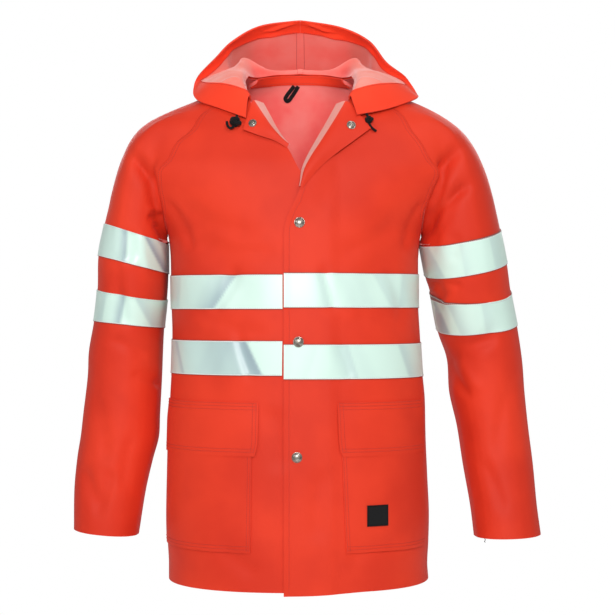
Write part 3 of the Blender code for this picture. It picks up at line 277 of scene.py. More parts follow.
# The slanting inner edges of pockets and flaps: the x on each side at a height.
SLANT = ("height", "right", "left")
POCKET_SLANT = (
    (-0.66, -0.069, 0.0658),
    (-0.6, -0.0682, 0.063),
    (-0.47, -0.0668, 0.058),
)
FLAP_SLANT = (
    (-0.5215, -0.0632, 0.0612),
    (-0.513, -0.0606, 0.057),
    (-0.5, -0.0584, 0.0554),
    (-0.445, -0.0576, 0.053),
)

# Sleeves, a row for each ring from the upper tape to the cuff: outer point,
# inner point, middle of the depth, half depth, drop of the front.
SLEEVE = ("out_x", "out_z", "in_x", "in_z", "middle", "depth", "drop")
LEFT_SLEEVE = (
    (0.3, -0.193, 0.18, -0.218, 0.006, 0.08, 0.01),
    (0.3105, -0.242, 0.189, -0.264, 0.012, 0.079, 0.012),
    (0.318, -0.286, 0.1975, -0.29, 0.022, 0.076, 0.017),
    (0.3285, -0.335, 0.209, -0.346, 0.032, 0.073, 0.011),
    (0.337, -0.39, 0.224, -0.39, 0.036, 0.07, 0.004),
    (0.3405, -0.439, 0.2275, -0.44, 0.034, 0.067, 0.0),
    (0.345, -0.49, 0.2385, -0.491, 0.028, 0.064, 0.0),
    (0.351, -0.547, 0.2465, -0.548, 0.018, 0.06, 0.0),
    (0.355, -0.605, 0.256, -0.607, 0.006, 0.056, 0.0),
    (0.36, -0.649, 0.261, -0.6525, -0.002, 0.053, 0.0),
)
RIGHT_SLEEVE = (
    (0.2916, -0.186, 0.1985, -0.2165, 0.002, 0.079, 0.0),
    (0.3015, -0.234, 0.1985, -0.261, 0.005, 0.078, 0.0),
    (0.3035, -0.2835, 0.201, -0.3, 0.009, 0.075, 0.003),
    (0.3095, -0.3315, 0.2055, -0.342, 0.013, 0.073, 0.0),
    (0.3175, -0.376, 0.2075, -0.38, 0.015, 0.07, 0.0),
    (0.3195, -0.415, 0.209, -0.419, 0.015, 0.068, 0.0),
    (0.3255, -0.468, 0.2115, -0.471, 0.012, 0.065, 0.0),
    (0.329, -0.502, 0.213, -0.506, 0.009, 0.063, 0.0),
    (0.334, -0.537, 0.222, -0.541, 0.005, 0.06, 0.0),
    (0.3375, -0.582, 0.232, -0.587, 0.0, 0.057, 0.0),
    (0.3375, -0.6405, 0.2415, -0.6495, -0.005, 0.053, 0.0),
)
SLEEVES = {"left": LEFT_SLEEVE, "right": RIGHT_SLEEVE}
SLEEVE_TAPES = {"upper": (0, 1), "lower": (2, 3)}  # the rings between which they lie
RING_ROUND = 0.92  # power that squares a sleeve's rings
NECK_TURN = math.radians(24)  # share of a sleeve's turn that its neck edge takes
SHOULDER_REACH = 2.0  # turn at which the shoulder line's direction ends
SHOULDER_CALM = 0.4  # how far the front and back slopes give way near the shoulder line
SHOULDER_PULL = {"left": 0.54, "right": 0.6}  # how far the shoulder line keeps its direction
UNDERARM_PULL = 0.34
NECK_GAP = 0.0008  # between the hood and the body's neck edge
EDGE_LIFT = {"left": 0.006, "right": 0.002}  # how far the front edges lift at the open neck
FRONT_ROLL = {"left": 0.0011, "right": 0}  # the roll of the front edge over its facing
OVERLAP = 0.002  # from the left front to the right one under it
ARMPIT_GAP = 0.0013  # from the body's side to the sleeve at the underarm
CENTRE_GAP = 0.00015  # from the hood's middle to each half
ARMPIT_SPLAY = 0.35  # how far the sleeve leaves the body at the underarm
SHOULDER_AIM = {"left": (0.2253, -0.0285), "right": (-0.203, -0.03)}  # where the shoulder line heads
SHOULDER_ROWS = (0, 0.16, 0.32, 0.48, 0.62, 0.76, 0.88)

# The neckline on the body, a row for each station from the lapel to the back
# middle: angle round the body and height.
NECKLINE = ("angle", "height")
NECKLINE_ROWS = (
    (19.0, -0.012),
    (33.6, 0.012),
    (60.0, 0.028),
    (90.0, 0.0345),
    (121.7, 0.04),
    (150.0, 0.047),
    (180.0, 0.05),
)

# The hood, a row for each section from its front end to the centre seam: how
# far along the neckline it starts, where the edge facing starts, then the points
# it passes: the fold beside the neck, two down the bag, the rear, the free edge.
HOOD = ("along", "facing", "crest", "near", "low", "rear", "edge")
HOOD_MIDDLE = (  # both halves end in this section, at the centre seam
    1, 0.973, (0.0003, 0.091, 0.0545), (0.0003, 0.146, 0.01), (0.0003, 0.196, -0.116),
    (0.0003, 0.194, 0.024), (0.0003, 0.066, 0.1325),
)
LEFT_HOOD = (
    (0, 0.1, (0.0735, -0.083, -0.006), (0.0755, -0.0895, -0.012), (0.0775, -0.0945, -0.019),
     (0.08, -0.099, -0.028), (0.082, -0.1025, -0.036)),
    (0.16, 0.5, (0.085, -0.062, 0.018), (0.096, -0.069, 0.014), (0.106, -0.074, 0.005),
     (0.117, -0.078, -0.009), (0.128, -0.08, -0.024)),
    (0.32, 0.7, (0.087, -0.03, 0.036), (0.106, -0.034, 0.034), (0.127, -0.04, 0.024),
     (0.148, -0.044, 0.01), (0.169, -0.047, -0.006)),
    (0.44, 0.8, (0.088, -0.006, 0.043), (0.11, -0.004, 0.04), (0.133, -0.006, 0.03),
     (0.156, -0.008, 0.02), (0.1725, -0.014, 0.006)),
    (0.55, 0.85, (0.088, 0.016, 0.049), (0.108, 0.022, 0.046), (0.13, 0.026, 0.04),
     (0.148, 0.022, 0.033), (0.16, 0.012, 0.036)),
    (0.66, 0.9, (0.086, 0.038, 0.06), (0.1, 0.052, 0.055), (0.111, 0.06, 0.048),
     (0.122, 0.056, 0.048), (0.132, 0.032, 0.062)),
    (0.76, 0.945, (0.081, 0.06, 0.071), (0.089, 0.092, 0.054), (0.098, 0.118, 0.022),
     (0.106, 0.104, 0.064), (0.106, 0.046, 0.097)),
    (0.87, 0.966, (0.05, 0.084, 0.055), (0.06, 0.134, 0.022), (0.074, 0.178, -0.076),
     (0.078, 0.172, 0.034), (0.063, 0.06, 0.1205)),
    HOOD_MIDDLE,
)
RIGHT_HOOD = (
    (0, 0.1, (0.0735, -0.083, -0.006), (0.075, -0.0895, -0.012), (0.0758, -0.0945, -0.02),
     (0.0762, -0.099, -0.03), (0.0765, -0.1025, -0.04)),
    (0.16, 0.5, (0.0845, -0.062, 0.018), (0.093, -0.069, 0.014), (0.1, -0.074, 0.005),
     (0.107, -0.078, -0.009), (0.114, -0.08, -0.024)),
    (0.32, 0.7, (0.0865, -0.03, 0.036), (0.103, -0.034, 0.034), (0.12, -0.042, 0.024),
     (0.136, -0.048, 0.01), (0.15, -0.054, -0.008)),
    (0.44, 0.8, (0.088, -0.006, 0.043), (0.108, -0.004, 0.04), (0.128, -0.004, 0.031),
     (0.146, -0.006, 0.025), (0.1575, -0.012, 0.016)),
    (0.55, 0.85, (0.089, 0.016, 0.051), (0.106, 0.022, 0.047), (0.126, 0.026, 0.041),
     (0.143, 0.022, 0.034), (0.154, 0.012, 0.038)),
    (0.66, 0.9, (0.087, 0.038, 0.062), (0.099, 0.052, 0.057), (0.109, 0.06, 0.051),
     (0.119, 0.056, 0.053), (0.129, 0.032, 0.069)),
    (0.76, 0.945, (0.083, 0.06, 0.071), (0.09, 0.092, 0.054), (0.097, 0.118, 0.022),
     (0.104, 0.104, 0.064), (0.104, 0.046, 0.097)),
    (0.87, 0.966, (0.051, 0.084, 0.055), (0.06, 0.134, 0.022), (0.073, 0.178, -0.076),
     (0.077, 0.172, 0.034), (0.062, 0.06, 0.1225)),
    HOOD_MIDDLE,
)
HOODS = {"left": LEFT_HOOD, "right": RIGHT_HOOD}
FACING_START = 0.8  # the place across the hood at which its edge facing starts

# Lapels, a row for each station from the neck down: the roll line's x and
# height, the free edge's x and height, how far the roll and the free edge
# stand off the body, and how far the cloth turns in behind the roll.
LAPEL = ("roll_x", "roll_z", "edge_x", "edge_z", "rise", "stand", "turn_in")
LEFT_LAPEL = (
    (0.069, -0.017, 0.101, -0.057, 0.006, 0.008, 0.01),
    (0.052, -0.046, 0.0745, -0.0768, 0.008, 0.0065, 0.011),
    (0.0315, -0.0781, 0.0474, -0.0977, 0.0095, 0.0065, 0.01),
    (0.017, -0.1, 0.027, -0.116, 0.01, 0.0085, 0.008),
    (0.007, -0.118, 0.0115, -0.1345, 0.011, 0.0095, 0.006),
    (0.001, -0.14, 0.0025, -0.145, 0.0105, 0.01, 0.003),
)
RIGHT_LAPEL = (
    (-0.068, -0.016, -0.08, -0.059, 0.006, 0.0075, 0.009),
    (-0.0535, -0.0385, -0.066, -0.064, 0.0075, 0.006, 0.009),
    (-0.0415, -0.0545, -0.052, -0.069, 0.008, 0.0055, 0.008),
    (-0.0285, -0.0685, -0.035, -0.075, 0.007, 0.005, 0.006),
    (-0.015, -0.0795, -0.018, -0.0845, 0.0042, 0.0034, 0.003),
)
LAPELS = {"left": LEFT_LAPEL, "right": RIGHT_LAPEL}
LAPEL_PLY = 0.0016  # front and facing, turned out together
LAPEL_TIP = 0.02  # width under which a lapel is flat
LAPEL_THINS = 0.35  # share of its ply that a lapel loses at its tip

SNAPS = {"top": (0.0000, -0.191), "middle": (-0.0015, -0.36), "bottom": (-0.0035, -0.522)}  # x, height
SNAP_RADIUS = 0.0075
RING_SNAPS = {"left": (0.62, 2.12, 0.0066), "right": (0.62, 2.3, 0.006)}  # station, place across, radius

# The hanger loop's middle line, as x and height, and its tape.
HANGER = (
    (-0.003, 0.033), (-0.0085, 0.0245), (-0.0138, 0.0172), (-0.0172, 0.0128), (-0.0212, 0.0116),
    (-0.0234, 0.015), (-0.0198, 0.0212), (-0.0143, 0.0278), (-0.0095, 0.0335),
)
HANGER_WIDTH = 0.0034
HANGER_SPREAD = 1.7  # how much wider the loop's tape is than its solid
HANGER_PLY = 0.0012
HANGER_GAP = 0.0041  # from the back's surface to the loop, past the neck band

# Drawcord ends: where each leaves the hood's edge, as a share of the neckline,
# and the steps from there to the points that it passes.
CORD_EXIT = {"right": 0.055, "left": 0.045}
CORD_RADIUS = 0.0018
CORD_GAP = 0.0012  # from the hood's edge to the cord's end
KNOT_RING = {"right": 0.005, "left": 0.0038}  # from the cord's middle to the middle of the knot's coil
KNOT_COIL = {"right": 0.0028, "left": 0.0018}
CORDS = {
    "right": (
        (0.0, 0.0, 0.0), (-0.0005, -0.004, -0.0045), (-0.002, -0.007, -0.0095),
        (-0.004, -0.0085, -0.016), (-0.0085, -0.0075, -0.019), (-0.013, -0.0045, -0.0155),
        (-0.0145, -0.0015, -0.009),
    ),
    "left": (
        (0.0, 0.0, 0.0), (0.002, -0.002, -0.004), (0.0035, -0.0035, -0.0085),
        (0.004, -0.004, -0.0135), (0.006, -0.004, -0.018), (0.009, -0.0035, -0.0215),
        (0.014, -0.0028, -0.025),
    ),
}
KNOT_AT = 2  # the cord's point inside the knot

# ---------------------------------------------------------------- curves


def column(names, rows, name):
    at = names.index(name)
    return np.array([row[at] for row in rows], float)


def read_off(names, rows, name, at):
    """A table's value where its first column is this number, on a smooth curve."""
    return smooth(column(names, rows, names[0]), column(names, rows, name), at)


def smooth(knots, values, at):
    """A smooth curve through the values that never overshoots them."""
    knots = np.asarray(knots, float)
    values = np.asarray(values, float)
    if values.ndim > 1:
        return np.stack([smooth(knots, side, at) for side in values.T], axis=-1)
    width = np.diff(knots)
    slope = np.diff(values) / width
    rate = np.empty(len(knots))
    rate[0], rate[-1] = slope[0], slope[-1]
    for i in range(1, len(knots) - 1):
        before, after = slope[i - 1], slope[i]
        rate[i] = 0 if before * after <= 0 else 2 * before * after / (before + after)
    at = np.clip(at, knots[0], knots[-1])
    i = np.clip(np.searchsorted(knots, at) - 1, 0, len(width) - 1)
    t = (at - knots[i]) / width[i]
    return (
        values[i] * (1 + 2 * t) * (1 - t) ** 2
        + values[i + 1] * t * t * (3 - 2 * t)
        + width[i] * (rate[i] * t * (1 - t) ** 2 - rate[i + 1] * t * t * (1 - t))
    )


def between(a, b, c, d, f):
    """The smooth curve's point at share f of the way from b to c, with a before them and d after."""
    square, cube = 2 * a - 5 * b + 4 * c - d, 3 * b - a - 3 * c + d
    return 0.5 * (2 * b + (c - a) * f + square * f**2 + cube * f**3)


def longer(run):
    """A run of points with one more at each end, straight on."""
    return np.concatenate([(2 * run[0] - run[1])[None], run, (2 * run[-1] - run[-2])[None]])


def flowing(points, t):
    """A curve through points[k] at t = k, with its bends shared evenly."""
    points = np.asarray(points, float)
    last = len(points) - 1
    t = np.clip(t, 0, last)
    k = np.clip(np.floor(t).astype(int), 0, last - 1)
    f = (t - k).reshape(t.shape + (1,) * (points.ndim - 1))
    run = longer(points)
    return between(run[k], run[k + 1], run[k + 2], run[k + 3], f)


def flowing_each(runs, t):
    """Each place t on a curve of its own: runs[k] holds the k-th points of all the curves."""
    k = np.clip(np.floor(t).astype(int), 0, len(runs) - 2)
    own = np.arange(len(t))
    full = longer(runs)
    return between(full[k, own], full[k + 1, own], full[k + 2, own], full[k + 3, own], (t - k)[..., None])


def walk(points):
    """How far along a line each of its points lies."""
    return np.concatenate([[0], np.cumsum(np.linalg.norm(np.diff(points, axis=0), axis=1))])


def ease(t):
    t = np.clip(t, 0, 1)
    return t * t * (3 - 2 * t)


def unit(vectors):
    return vectors / np.maximum(np.linalg.norm(vectors, axis=-1, keepdims=True), 1e-12)


def signed_power(value, power):
    return np.sign(value) * np.abs(value) ** power


def groove(a, b, start, stop, width, end, bend=0.0):
    """A fold's share of its full depth at the places (a, b): it fades to its ends and to its sides."""
    run_a, run_b = stop[0] - start[0], stop[1] - start[1]
    off_a, off_b = a - start[0], b - start[1]
    length = math.hypot(run_a, run_b)
    t = (off_a * run_a + off_b * run_b) / length**2
    aside = (off_b * run_a - off_a * run_b) / length - bend * 4 * t * (1 - t)
    return ease(t / end) * ease((1 - t) / end) * np.exp(-((aside / width) ** 2))


# ---------------------------------------------------------------- body


FOLD_ENDS = 0.25  # share of its length over which a fold fades at each end


def body_size(name, height):
    return read_off(BODY, BODY_ROWS, name, height)


def body(angle, height):
    """A point of the body's surface at an angle from the front, at a height."""
    sine, cosine = np.sin(angle), np.cos(angle)
    half = np.where(sine >= 0, body_size("left", height), body_size("right", height))
    deep = np.where(cosine >= 0, body_size("front", height), body_size("back", height))
    x = half * signed_power(sine, ROUND)
    y = -deep * signed_power(cosine, ROUND)
    return np.stack([x, y, height + 0 * x], axis=-1)


def angle_at(x, height):
    """The angle from the front (or from the back) at which the body has this x."""
    half = np.where(x >= 0, body_size("left", height), body_size("right", height))
    return np.sign(x) * np.arcsin(np.clip((np.abs(x) / half) ** (1 / ROUND), 0, 1))


def outward(surface, u, v, facing=1):
    """The unit normals of a surface of two numbers."""
    along_u = surface(u + NORMAL_STEP, v) - surface(u - NORMAL_STEP, v)
    along_v = surface(u, v + NORMAL_STEP) - surface(u, v - NORMAL_STEP)
    return facing * unit(np.cross(along_u, along_v))


def side_seam(side, height):
    """The side seam's angle: it turns forward below the underarm."""
    level = SIGN[side] * math.pi / 2
    low = ease((height - SIDE_SEAM_SETTLES) / (UNDERARM - SIDE_SEAM_SETTLES))
    return SIDE_SEAM[side] + (level - SIDE_SEAM[side]) * low


def raglan_angle(side, rows, height):
    """A raglan seam's angle from the front (or from the back)."""
    return angle_at(SIGN[side] * read_off(RAGLAN, rows, side, height), height)


def side_limit(side, height):
    """The outer limit of a front panel: the side seam, then the raglan seam."""
    return np.where(height < UNDERARM, side_seam(side, height), raglan_angle(side, FRONT_RAGLAN, height))


def back_limit(side, height):
    """The limit of the back panel, as an angle from the front centre."""
    raglan = SIGN[side] * math.pi - raglan_angle(side, BACK_RAGLAN, height)
    return np.where(height < UNDERARM, side_seam(side, height), raglan)


def inner_limit(side, height):
    """The inner edge of a front panel."""
    return angle_at(read_off(EDGE, EDGES[side], "x", height), height)


def fold_depth(cloth, point, facing):
    """How far the folds move a cloth's points outwards: facing is 1 at the front, -1 at the back."""
    x, z = point[..., 0].ravel(), point[..., 2].ravel()
    facing = np.broadcast_to(facing, point.shape[:-1]).ravel()
    total = np.zeros(x.shape)
    for face in (1, -1):
        for x0, z0, x1, z1, bend, width, depth in FOLDS[cloth, face]:
            reach = 3 * width + abs(bend)
            beside = np.abs(2 * x - x0 - x1) < abs(x1 - x0) + 2 * reach
            level = np.abs(2 * z - z0 - z1) < abs(z1 - z0) + 2 * reach
            near = np.flatnonzero(beside & level & (facing * face > 0))
            shape = groove(x[near], z[near], (x0, z0), (x1, z1), width, FOLD_ENDS, bend)
            total[near] -= depth * shape * ease(facing[near] * face / 0.4)
    return total.reshape(point.shape[:-1])


def folded_body(angle, height):
    """The body's surface with its folds."""
    point = body(angle, height)
    return point + outward(body, angle, height) * fold_depth("body", point, np.cos(angle))[..., None]


def body_normal(angle, height):
    return outward(folded_body, angle, height)


def overlap_lift(side, angle, height):
    """The left front rides over the right one near the placket."""
    if side == "right":
        return 0 * angle
    x = body(angle, height)[..., 0]
    return OVERLAP * (1 - ease((x - 0.04) / 0.02)) * (1 - ease((height + 0.11) / 0.05))


def edge_lift(side, share, height):
    """The front edges lift from the body to meet the lapels at the open neck."""
    near = 1 - ease(share / 0.16)
    rise = ease((height + 0.205) / 0.07) * (1 - ease((height + 0.05) / 0.04))
    rolled = FRONT_ROLL[side] * np.exp(-((np.maximum(share, 0) / 0.02) ** 2))
    return EDGE_LIFT[side] * near * rise + rolled


def front_surface(side):
    """A front panel, for the share of the way from its inner edge to its side, and a height."""

    def surface(share, height, out=0.0):
        start, stop = inner_limit(side, height), side_limit(side, height)
        stop = stop - np.sign(stop) * SEAM_TURN
        angle = start + (stop - start) * share
        lift = overlap_lift(side, angle, height) + edge_lift(side, share, height) + out
        return folded_body(angle, height) + body_normal(angle, height) * np.expand_dims(lift, -1)

    return surface


def back_surface(share, height, out=0.0):
    """The back panel, from the left side (0) round to the right (1), at a height."""
    rise = BACK_NECK_RISE * (1 - (2 * share - 1) ** 2) * ease(height / BACK_CORNER)
    start = back_limit("left", height) + SEAM_TURN
    stop = back_limit("right", height) + 2 * math.pi - SEAM_TURN
    angle = start + (stop - start) * share
    height = height + rise
    return folded_body(angle, height) + body_normal(angle, height) * np.expand_dims(out + 0 * angle, -1)


# ---------------------------------------------------------------- sleeves


def seam_loop(side, skin):
    """The seam that joins a sleeve to the body (its surface is skin) and to the neck.

    The first function gives the seam's angle and height for a turn of the
    sleeve: 0 at the shoulder, half a turn at the underarm, the front positive.
    The second one gives the turn for a height of the front or back seam.
    """

    def path(rows, corner, from_back):
        height = np.linspace(corner, UNDERARM, 61)
        angle = raglan_angle(side, rows, height)
        if from_back:
            angle = SIGN[side] * math.pi - angle
        along = walk(skin(angle, height))
        return along / along[-1], angle, height

    front, back = path(FRONT_RAGLAN, NECK_CORNER, False), path(BACK_RAGLAN, BACK_CORNER, True)
    neck_angle = SIGN[side] * np.radians(column(NECKLINE, NECKLINE_ROWS, "angle"))
    neck_height = column(NECKLINE, NECKLINE_ROWS, "height")

    def turn_at(height, ahead):
        along, _, heights = front if ahead else back
        share = np.interp(-height, -heights, along)
        return (1 if ahead else -1) * (NECK_TURN + share * (math.pi - NECK_TURN))

    def loop(turn):
        share = (np.abs(turn) - NECK_TURN) / (math.pi - NECK_TURN)
        station = 2.5 - turn / NECK_TURN * 1.5
        places = np.arange(len(NECKLINE_ROWS))
        found = []
        for k, neck in ((1, neck_angle), (2, neck_height)):
            ahead, behind = (np.interp(share, seam[0], seam[k]) for seam in (front, back))
            seam = np.where(turn > 0, ahead, behind)
            found.append(np.where(np.abs(turn) > NECK_TURN, seam, smooth(places, neck, station)))
        return found

    return loop, turn_at


def sleeve_turns(side, skin):
    """The sleeve's columns: round the back raglan seam, the neck edge and the front raglan seam."""
    turn_at = seam_loop(side, skin)[1]
    back = [turn_at(height, False) for height in BACK_STATIONS]
    front = [turn_at(height, True) for height in reversed(FRONT_STATIONS)]
    return np.array([*back, -NECK_TURN / 3, NECK_TURN / 3, *front], float)


def ring_point(side, turn, index):
    """A point of the sleeve's tube: index counts the rows of its table."""
    value = {name: flowing(column(SLEEVE, SLEEVES[side], name), index) for name in SLEEVE}
    share = (1 + signed_power(np.cos(turn), RING_ROUND)) / 2
    forward = signed_power(np.sin(turn), RING_ROUND)
    x = value["in_x"] + (value["out_x"] - value["in_x"]) * share
    z = value["in_z"] + (value["out_z"] - value["in_z"]) * share - value["drop"] * forward
    y = value["middle"] - value["depth"] * forward
    return np.stack([SIGN[side] * x, y, z], axis=-1)


def plain_sleeve(side):
    """The sleeve without its folds, for a turn and an index: the shoulder from -1 to 0, then the rings."""
    loop = seam_loop(side, body)[0]

    def start(turn):
        return body(*loop(turn))

    def surface(turn, index):
        tube = ring_point(side, turn, np.maximum(index, 0))
        seam = start(turn)
        normal = outward(body, *loop(turn))
        ahead, behind = start(turn + 0.25), start(turn - 0.25)
        across = -SIGN[side] * unit(np.cross(unit(ahead - behind), normal))
        low = ease((np.abs(turn) - 1.9) / 1.0)[..., None]
        high = ease(SHOULDER_REACH - np.abs(turn))[..., None]
        level = 1 - SHOULDER_CALM * ease((1.8 - np.abs(turn)) / 0.9)
        across = unit(across * np.stack([1 + 0 * turn, level, 1 + 0 * turn], axis=-1))
        aim_x, aim_z = SHOULDER_AIM[side]
        slope = unit(np.stack([aim_x - seam[..., 0], 0 * turn, aim_z - seam[..., 2]], axis=-1))
        leave = unit(across * (1 - high) + slope * high + normal * low * ARMPIT_SPLAY)
        seam = seam + across * SEAM + normal * low * ARMPIT_GAP
        first = ring_point(side, turn, np.zeros_like(turn))
        arrive = unit(first - ring_point(side, turn, np.full_like(turn, 0.5)))
        chord = np.linalg.norm(first - seam, axis=-1, keepdims=True)
        top = ease((np.cos(turn) + 0.2) / 1.2)[..., None]
        pull = chord * (UNDERARM_PULL + (SHOULDER_PULL[side] - UNDERARM_PULL) * top)
        t = np.clip(index + 1, 0, 1)[..., None]
        shoulder = (
            seam * (1 - t) ** 3
            + 3 * (seam + leave * pull) * t * (1 - t) ** 2
            + 3 * (first + arrive * pull) * t * t * (1 - t)
            + first * t**3
        )
        return np.where(index[..., None] < 0, shoulder, tube)

    return surface


# ---------------------------------------------------------------- hood


def neckline(share):
    """The neckline's angle and height, from the lapel (0) to the back middle (1)."""
    places = np.arange(len(NECKLINE_ROWS))
    columns = (column(NECKLINE, NECKLINE_ROWS, name) for name in NECKLINE)
    angle, height = (smooth(places, values, share * places[-1]) for values in columns)
    return np.radians(angle), height


def hood_surface(side):
    rows = HOODS[side]
    mirror = np.array([SIGN[side], 1, 1])
    along = column(HOOD, rows, "along")
    facing = column(HOOD, rows, "facing")
    stations = np.array([row[2:] for row in rows], float)

    def bare(share, across):
        """share runs along the neckline, across from the neck seam to the free edge."""
        turn_in = smooth(along, facing, share)
        outer = turn_in + (1 - turn_in) * (across - FACING_START) / (1 - FACING_START)
        across = np.where(across < FACING_START, across / FACING_START * turn_in, outer)
        index = smooth(along, np.arange(len(rows)), share)
        angle, height = neckline(share)
        ahead, behind = body(*neckline(share + 0.01)), body(*neckline(share - 0.01))
        away = unit(np.cross(body_normal(angle, height), unit(ahead - behind)))
        seam = body(angle, height) + away * NECK_GAP
        run = np.concatenate([seam[None], np.moveaxis(flowing(stations, index), -2, 0)])
        return flowing_each(run, across * (len(run) - 1))

    def surface(share, across, out=0.0):
        inner_share = np.clip(share, 0.001, 0.999)
        normal = outward(bare, inner_share, np.clip(across, 0.001, 0.999))
        point = bare(share, across) + normal * np.expand_dims(out + 0 * share, -1)
        point[..., 0] = np.maximum(point[..., 0], CENTRE_GAP)
        return point * mirror

    return surface


# ---------------------------------------------------------------- lapels


def lapel_surface(side):
    """A lapel, for its station down the roll and the place across: 0 behind the roll, 3 its free edge."""
    rows, sign = LAPELS[side], SIGN[side]
    value = {name: column(LAPEL, rows, name) for name in LAPEL}

    def on_front(x, height, rise):
        angle = angle_at(x, height)
        return folded_body(angle, height) + body_normal(angle, height) * rise[:, None]

    roll = on_front(value["roll_x"], value["roll_z"], value["rise"])
    edge = on_front(value["edge_x"], value["edge_z"], value["stand"])
    inward = np.stack([-0.55 * sign * value["turn_in"], value["turn_in"], -0.2 * value["turn_in"]], axis=-1)
    wide = np.clip(np.linalg.norm(edge - roll, axis=-1, keepdims=True) / LAPEL_TIP, 0, 1)
    middle = (roll + edge) / 2 + np.array([0, -0.0022, 0.001]) * wide**2
    stations = np.stack([roll + inward, roll, middle, edge], axis=1)

    def bare(station, across):
        return flowing_each(np.moveaxis(flowing(stations, station), -2, 0), across)

    def surface(station, across, out=0.0):
        inside = np.clip(station, 0.001, len(rows) - 1.001)
        normal = outward(bare, inside, np.clip(across, 0.001, 2.999), sign)
        thin = 1 - LAPEL_THINS * ease(station - (len(rows) - 2.2))
        return bare(station, across) + normal * np.expand_dims(out * np.where(out < 0, thin, 1), -1)

    return surface


def share_at(side, x, height):
    """The share of the way from a front's inner edge to its side at which it has this x."""
    start, stop = inner_limit(side, height), side_limit(side, height)
    return (angle_at(x, height) - start) / (stop - start)


# ---------------------------------------------------------------- sleeve cloth


SEAM_HOLD = 0.34  # stretch of the shoulder over which the cloth is drawn to its seam's exact line
FOLDS_BEGIN = 0.12  # stretch of the shoulder over which the folds begin
CALM = 0.8  # how far the unfolded cloth's normals even out the folded one's


def bare_net(side):
    """The unfolded sleeve at the stations and turns of its pattern, and its seam's exact line."""
    surface = plain_sleeve(side)
    stations = np.array([*(value - 1 for value in SHOULDER_ROWS), *range(len(SLEEVES[side]))], float)
    turns = sleeve_turns(side, body)
    across, along = np.meshgrid(turns, stations)
    net = surface(across.ravel(), along.ravel()).reshape(len(stations), len(turns), 3)
    level = np.interp(stations, (-1, -0.8, -0.1, 2), (0.7, 1, 1, 0))[:, None, None]
    beside = np.interp(np.abs(turns[:-1]), (1.2, 1.6, 2.3, 2.7), (0, 1, 1, 0))[None, :, None]
    for _ in range(4):  # eases the kink that the seam's corner would send down the sleeve
        ring = net[:, :-1]
        ring = ring + level * beside * (np.roll(ring, 1, 1) + np.roll(ring, -1, 1) - 2 * ring) / 4
        net = np.concatenate([ring, ring[:, :1]], axis=1)
    fine = np.linspace(-math.pi, math.pi, 721)
    return stations, turns, net, fine, surface(fine, np.full(721, -1.0))


NETS = {side: bare_net(side) for side in SLEEVES}


def cubic(f):
    """The four shares of a smooth curve between its two middle points."""
    return 0.5 * np.stack([
        -f + 2 * f**2 - f**3, 2 - 5 * f**2 + 3 * f**3, f + 4 * f**2 - 3 * f**3, f**3 - f**2,
    ])


def sleeve_cloth(side):
    """The sleeve's smooth surface through its pattern's points, with every fold and crease."""
    stations, turns, net, fine, seam_line = NETS[side]
    rounds = len(turns) - 1
    last = len(stations) - 1
    padded = longer(net)

    def away(surface, turn, index):
        """The surface's outward normal, taken just inside its ends."""
        return outward(surface, turn, np.clip(index, -0.999, stations[-1] - 0.001), SIGN[side])

    def through(turn, index):
        row = np.interp(index, stations, np.arange(last + 1))
        place = np.interp((turn + math.pi) % (2 * math.pi) - math.pi, turns, np.arange(rounds + 1))
        i = np.clip(np.floor(row).astype(int), 0, last - 1)
        j = np.clip(np.floor(place).astype(int), 0, rounds - 1)
        down, round_it = cubic(row - i), cubic(place - j)
        total = 0
        for a in range(4):
            for b in range(4):
                total = total + (down[a] * round_it[b])[..., None] * padded[i + a, (j + b - 1) % rounds]
        return total

    def bare(turn, index):
        turn, index = np.broadcast_arrays(np.asarray(turn, float), np.asarray(index, float))
        near = 1 - ease((index + 1) / SEAM_HOLD)
        angle = (turn + math.pi) % (2 * math.pi) - math.pi
        exact = np.stack([np.interp(angle, fine, seam_line[:, k]) for k in range(3)], axis=-1)
        shift = exact - through(turn, np.full(turn.shape, -1.0))
        return through(turn, index) + shift * near[..., None]

    def folded(turn, index):
        point = bare(turn, index)
        depth = fold_depth(f"sleeve_{side}", point, np.sin(turn)) * ease((index + 1) / FOLDS_BEGIN)
        return point + away(bare, turn, index) * depth[..., None]

    def surface(turn, index, out=0.0):
        around = ((0, 0), (0.1, 0), (-0.1, 0), (0, 0.1), (0, -0.1))
        calm = sum(away(bare, turn + way, index + up) for way, up in around)
        normal = unit(away(folded, turn, index) + CALM * calm)
        return folded(turn, index) + normal * np.expand_dims(out + 0 * turn, -1)

    return surface


# Creases of the hood, for each side, a row for each: both ends as the share
# along the neckline and the place across, half width and depth.
HOOD_CREASES = {
    "left": (
        (0.18, 0.3, 0.26, 0.8, 0.007, 0.0022),
        (0.34, 0.25, 0.38, 0.85, 0.009, 0.002),
        (0.5, 0.3, 0.52, 0.8, 0.009, 0.0022),
        (0.8, 0.15, 0.9, 0.42, 0.01, 0.003),
        (0.93, 0.62, 0.88, 0.88, 0.01, 0.003),
        (0.9, 0.86, 0.985, 0.99, 0.006, 0.003),
        (0.7, 0.6, 0.76, 0.9, 0.008, 0.0018),
    ),
    "right": (
        (0.2, 0.35, 0.26, 0.85, 0.007, 0.0022),
        (0.36, 0.25, 0.4, 0.85, 0.009, 0.0022),
        (0.52, 0.3, 0.54, 0.8, 0.009, 0.0018),
        (0.84, 0.2, 0.88, 0.45, 0.01, 0.0032),
        (0.95, 0.6, 0.9, 0.86, 0.01, 0.003),
        (0.89, 0.86, 0.985, 0.99, 0.006, 0.003),
        (0.68, 0.62, 0.74, 0.9, 0.008, 0.0018),
    ),
}
HOOD_CREASE_ENDS = 0.3  # share of its length over which a crease fades at each end
HOOD_SPAN = (0.36, 0.3)  # metres that the hood's two numbers stand for, roughly
TUNNEL_SWELL = 0.0012  # how far the drawcord's tunnel stands proud
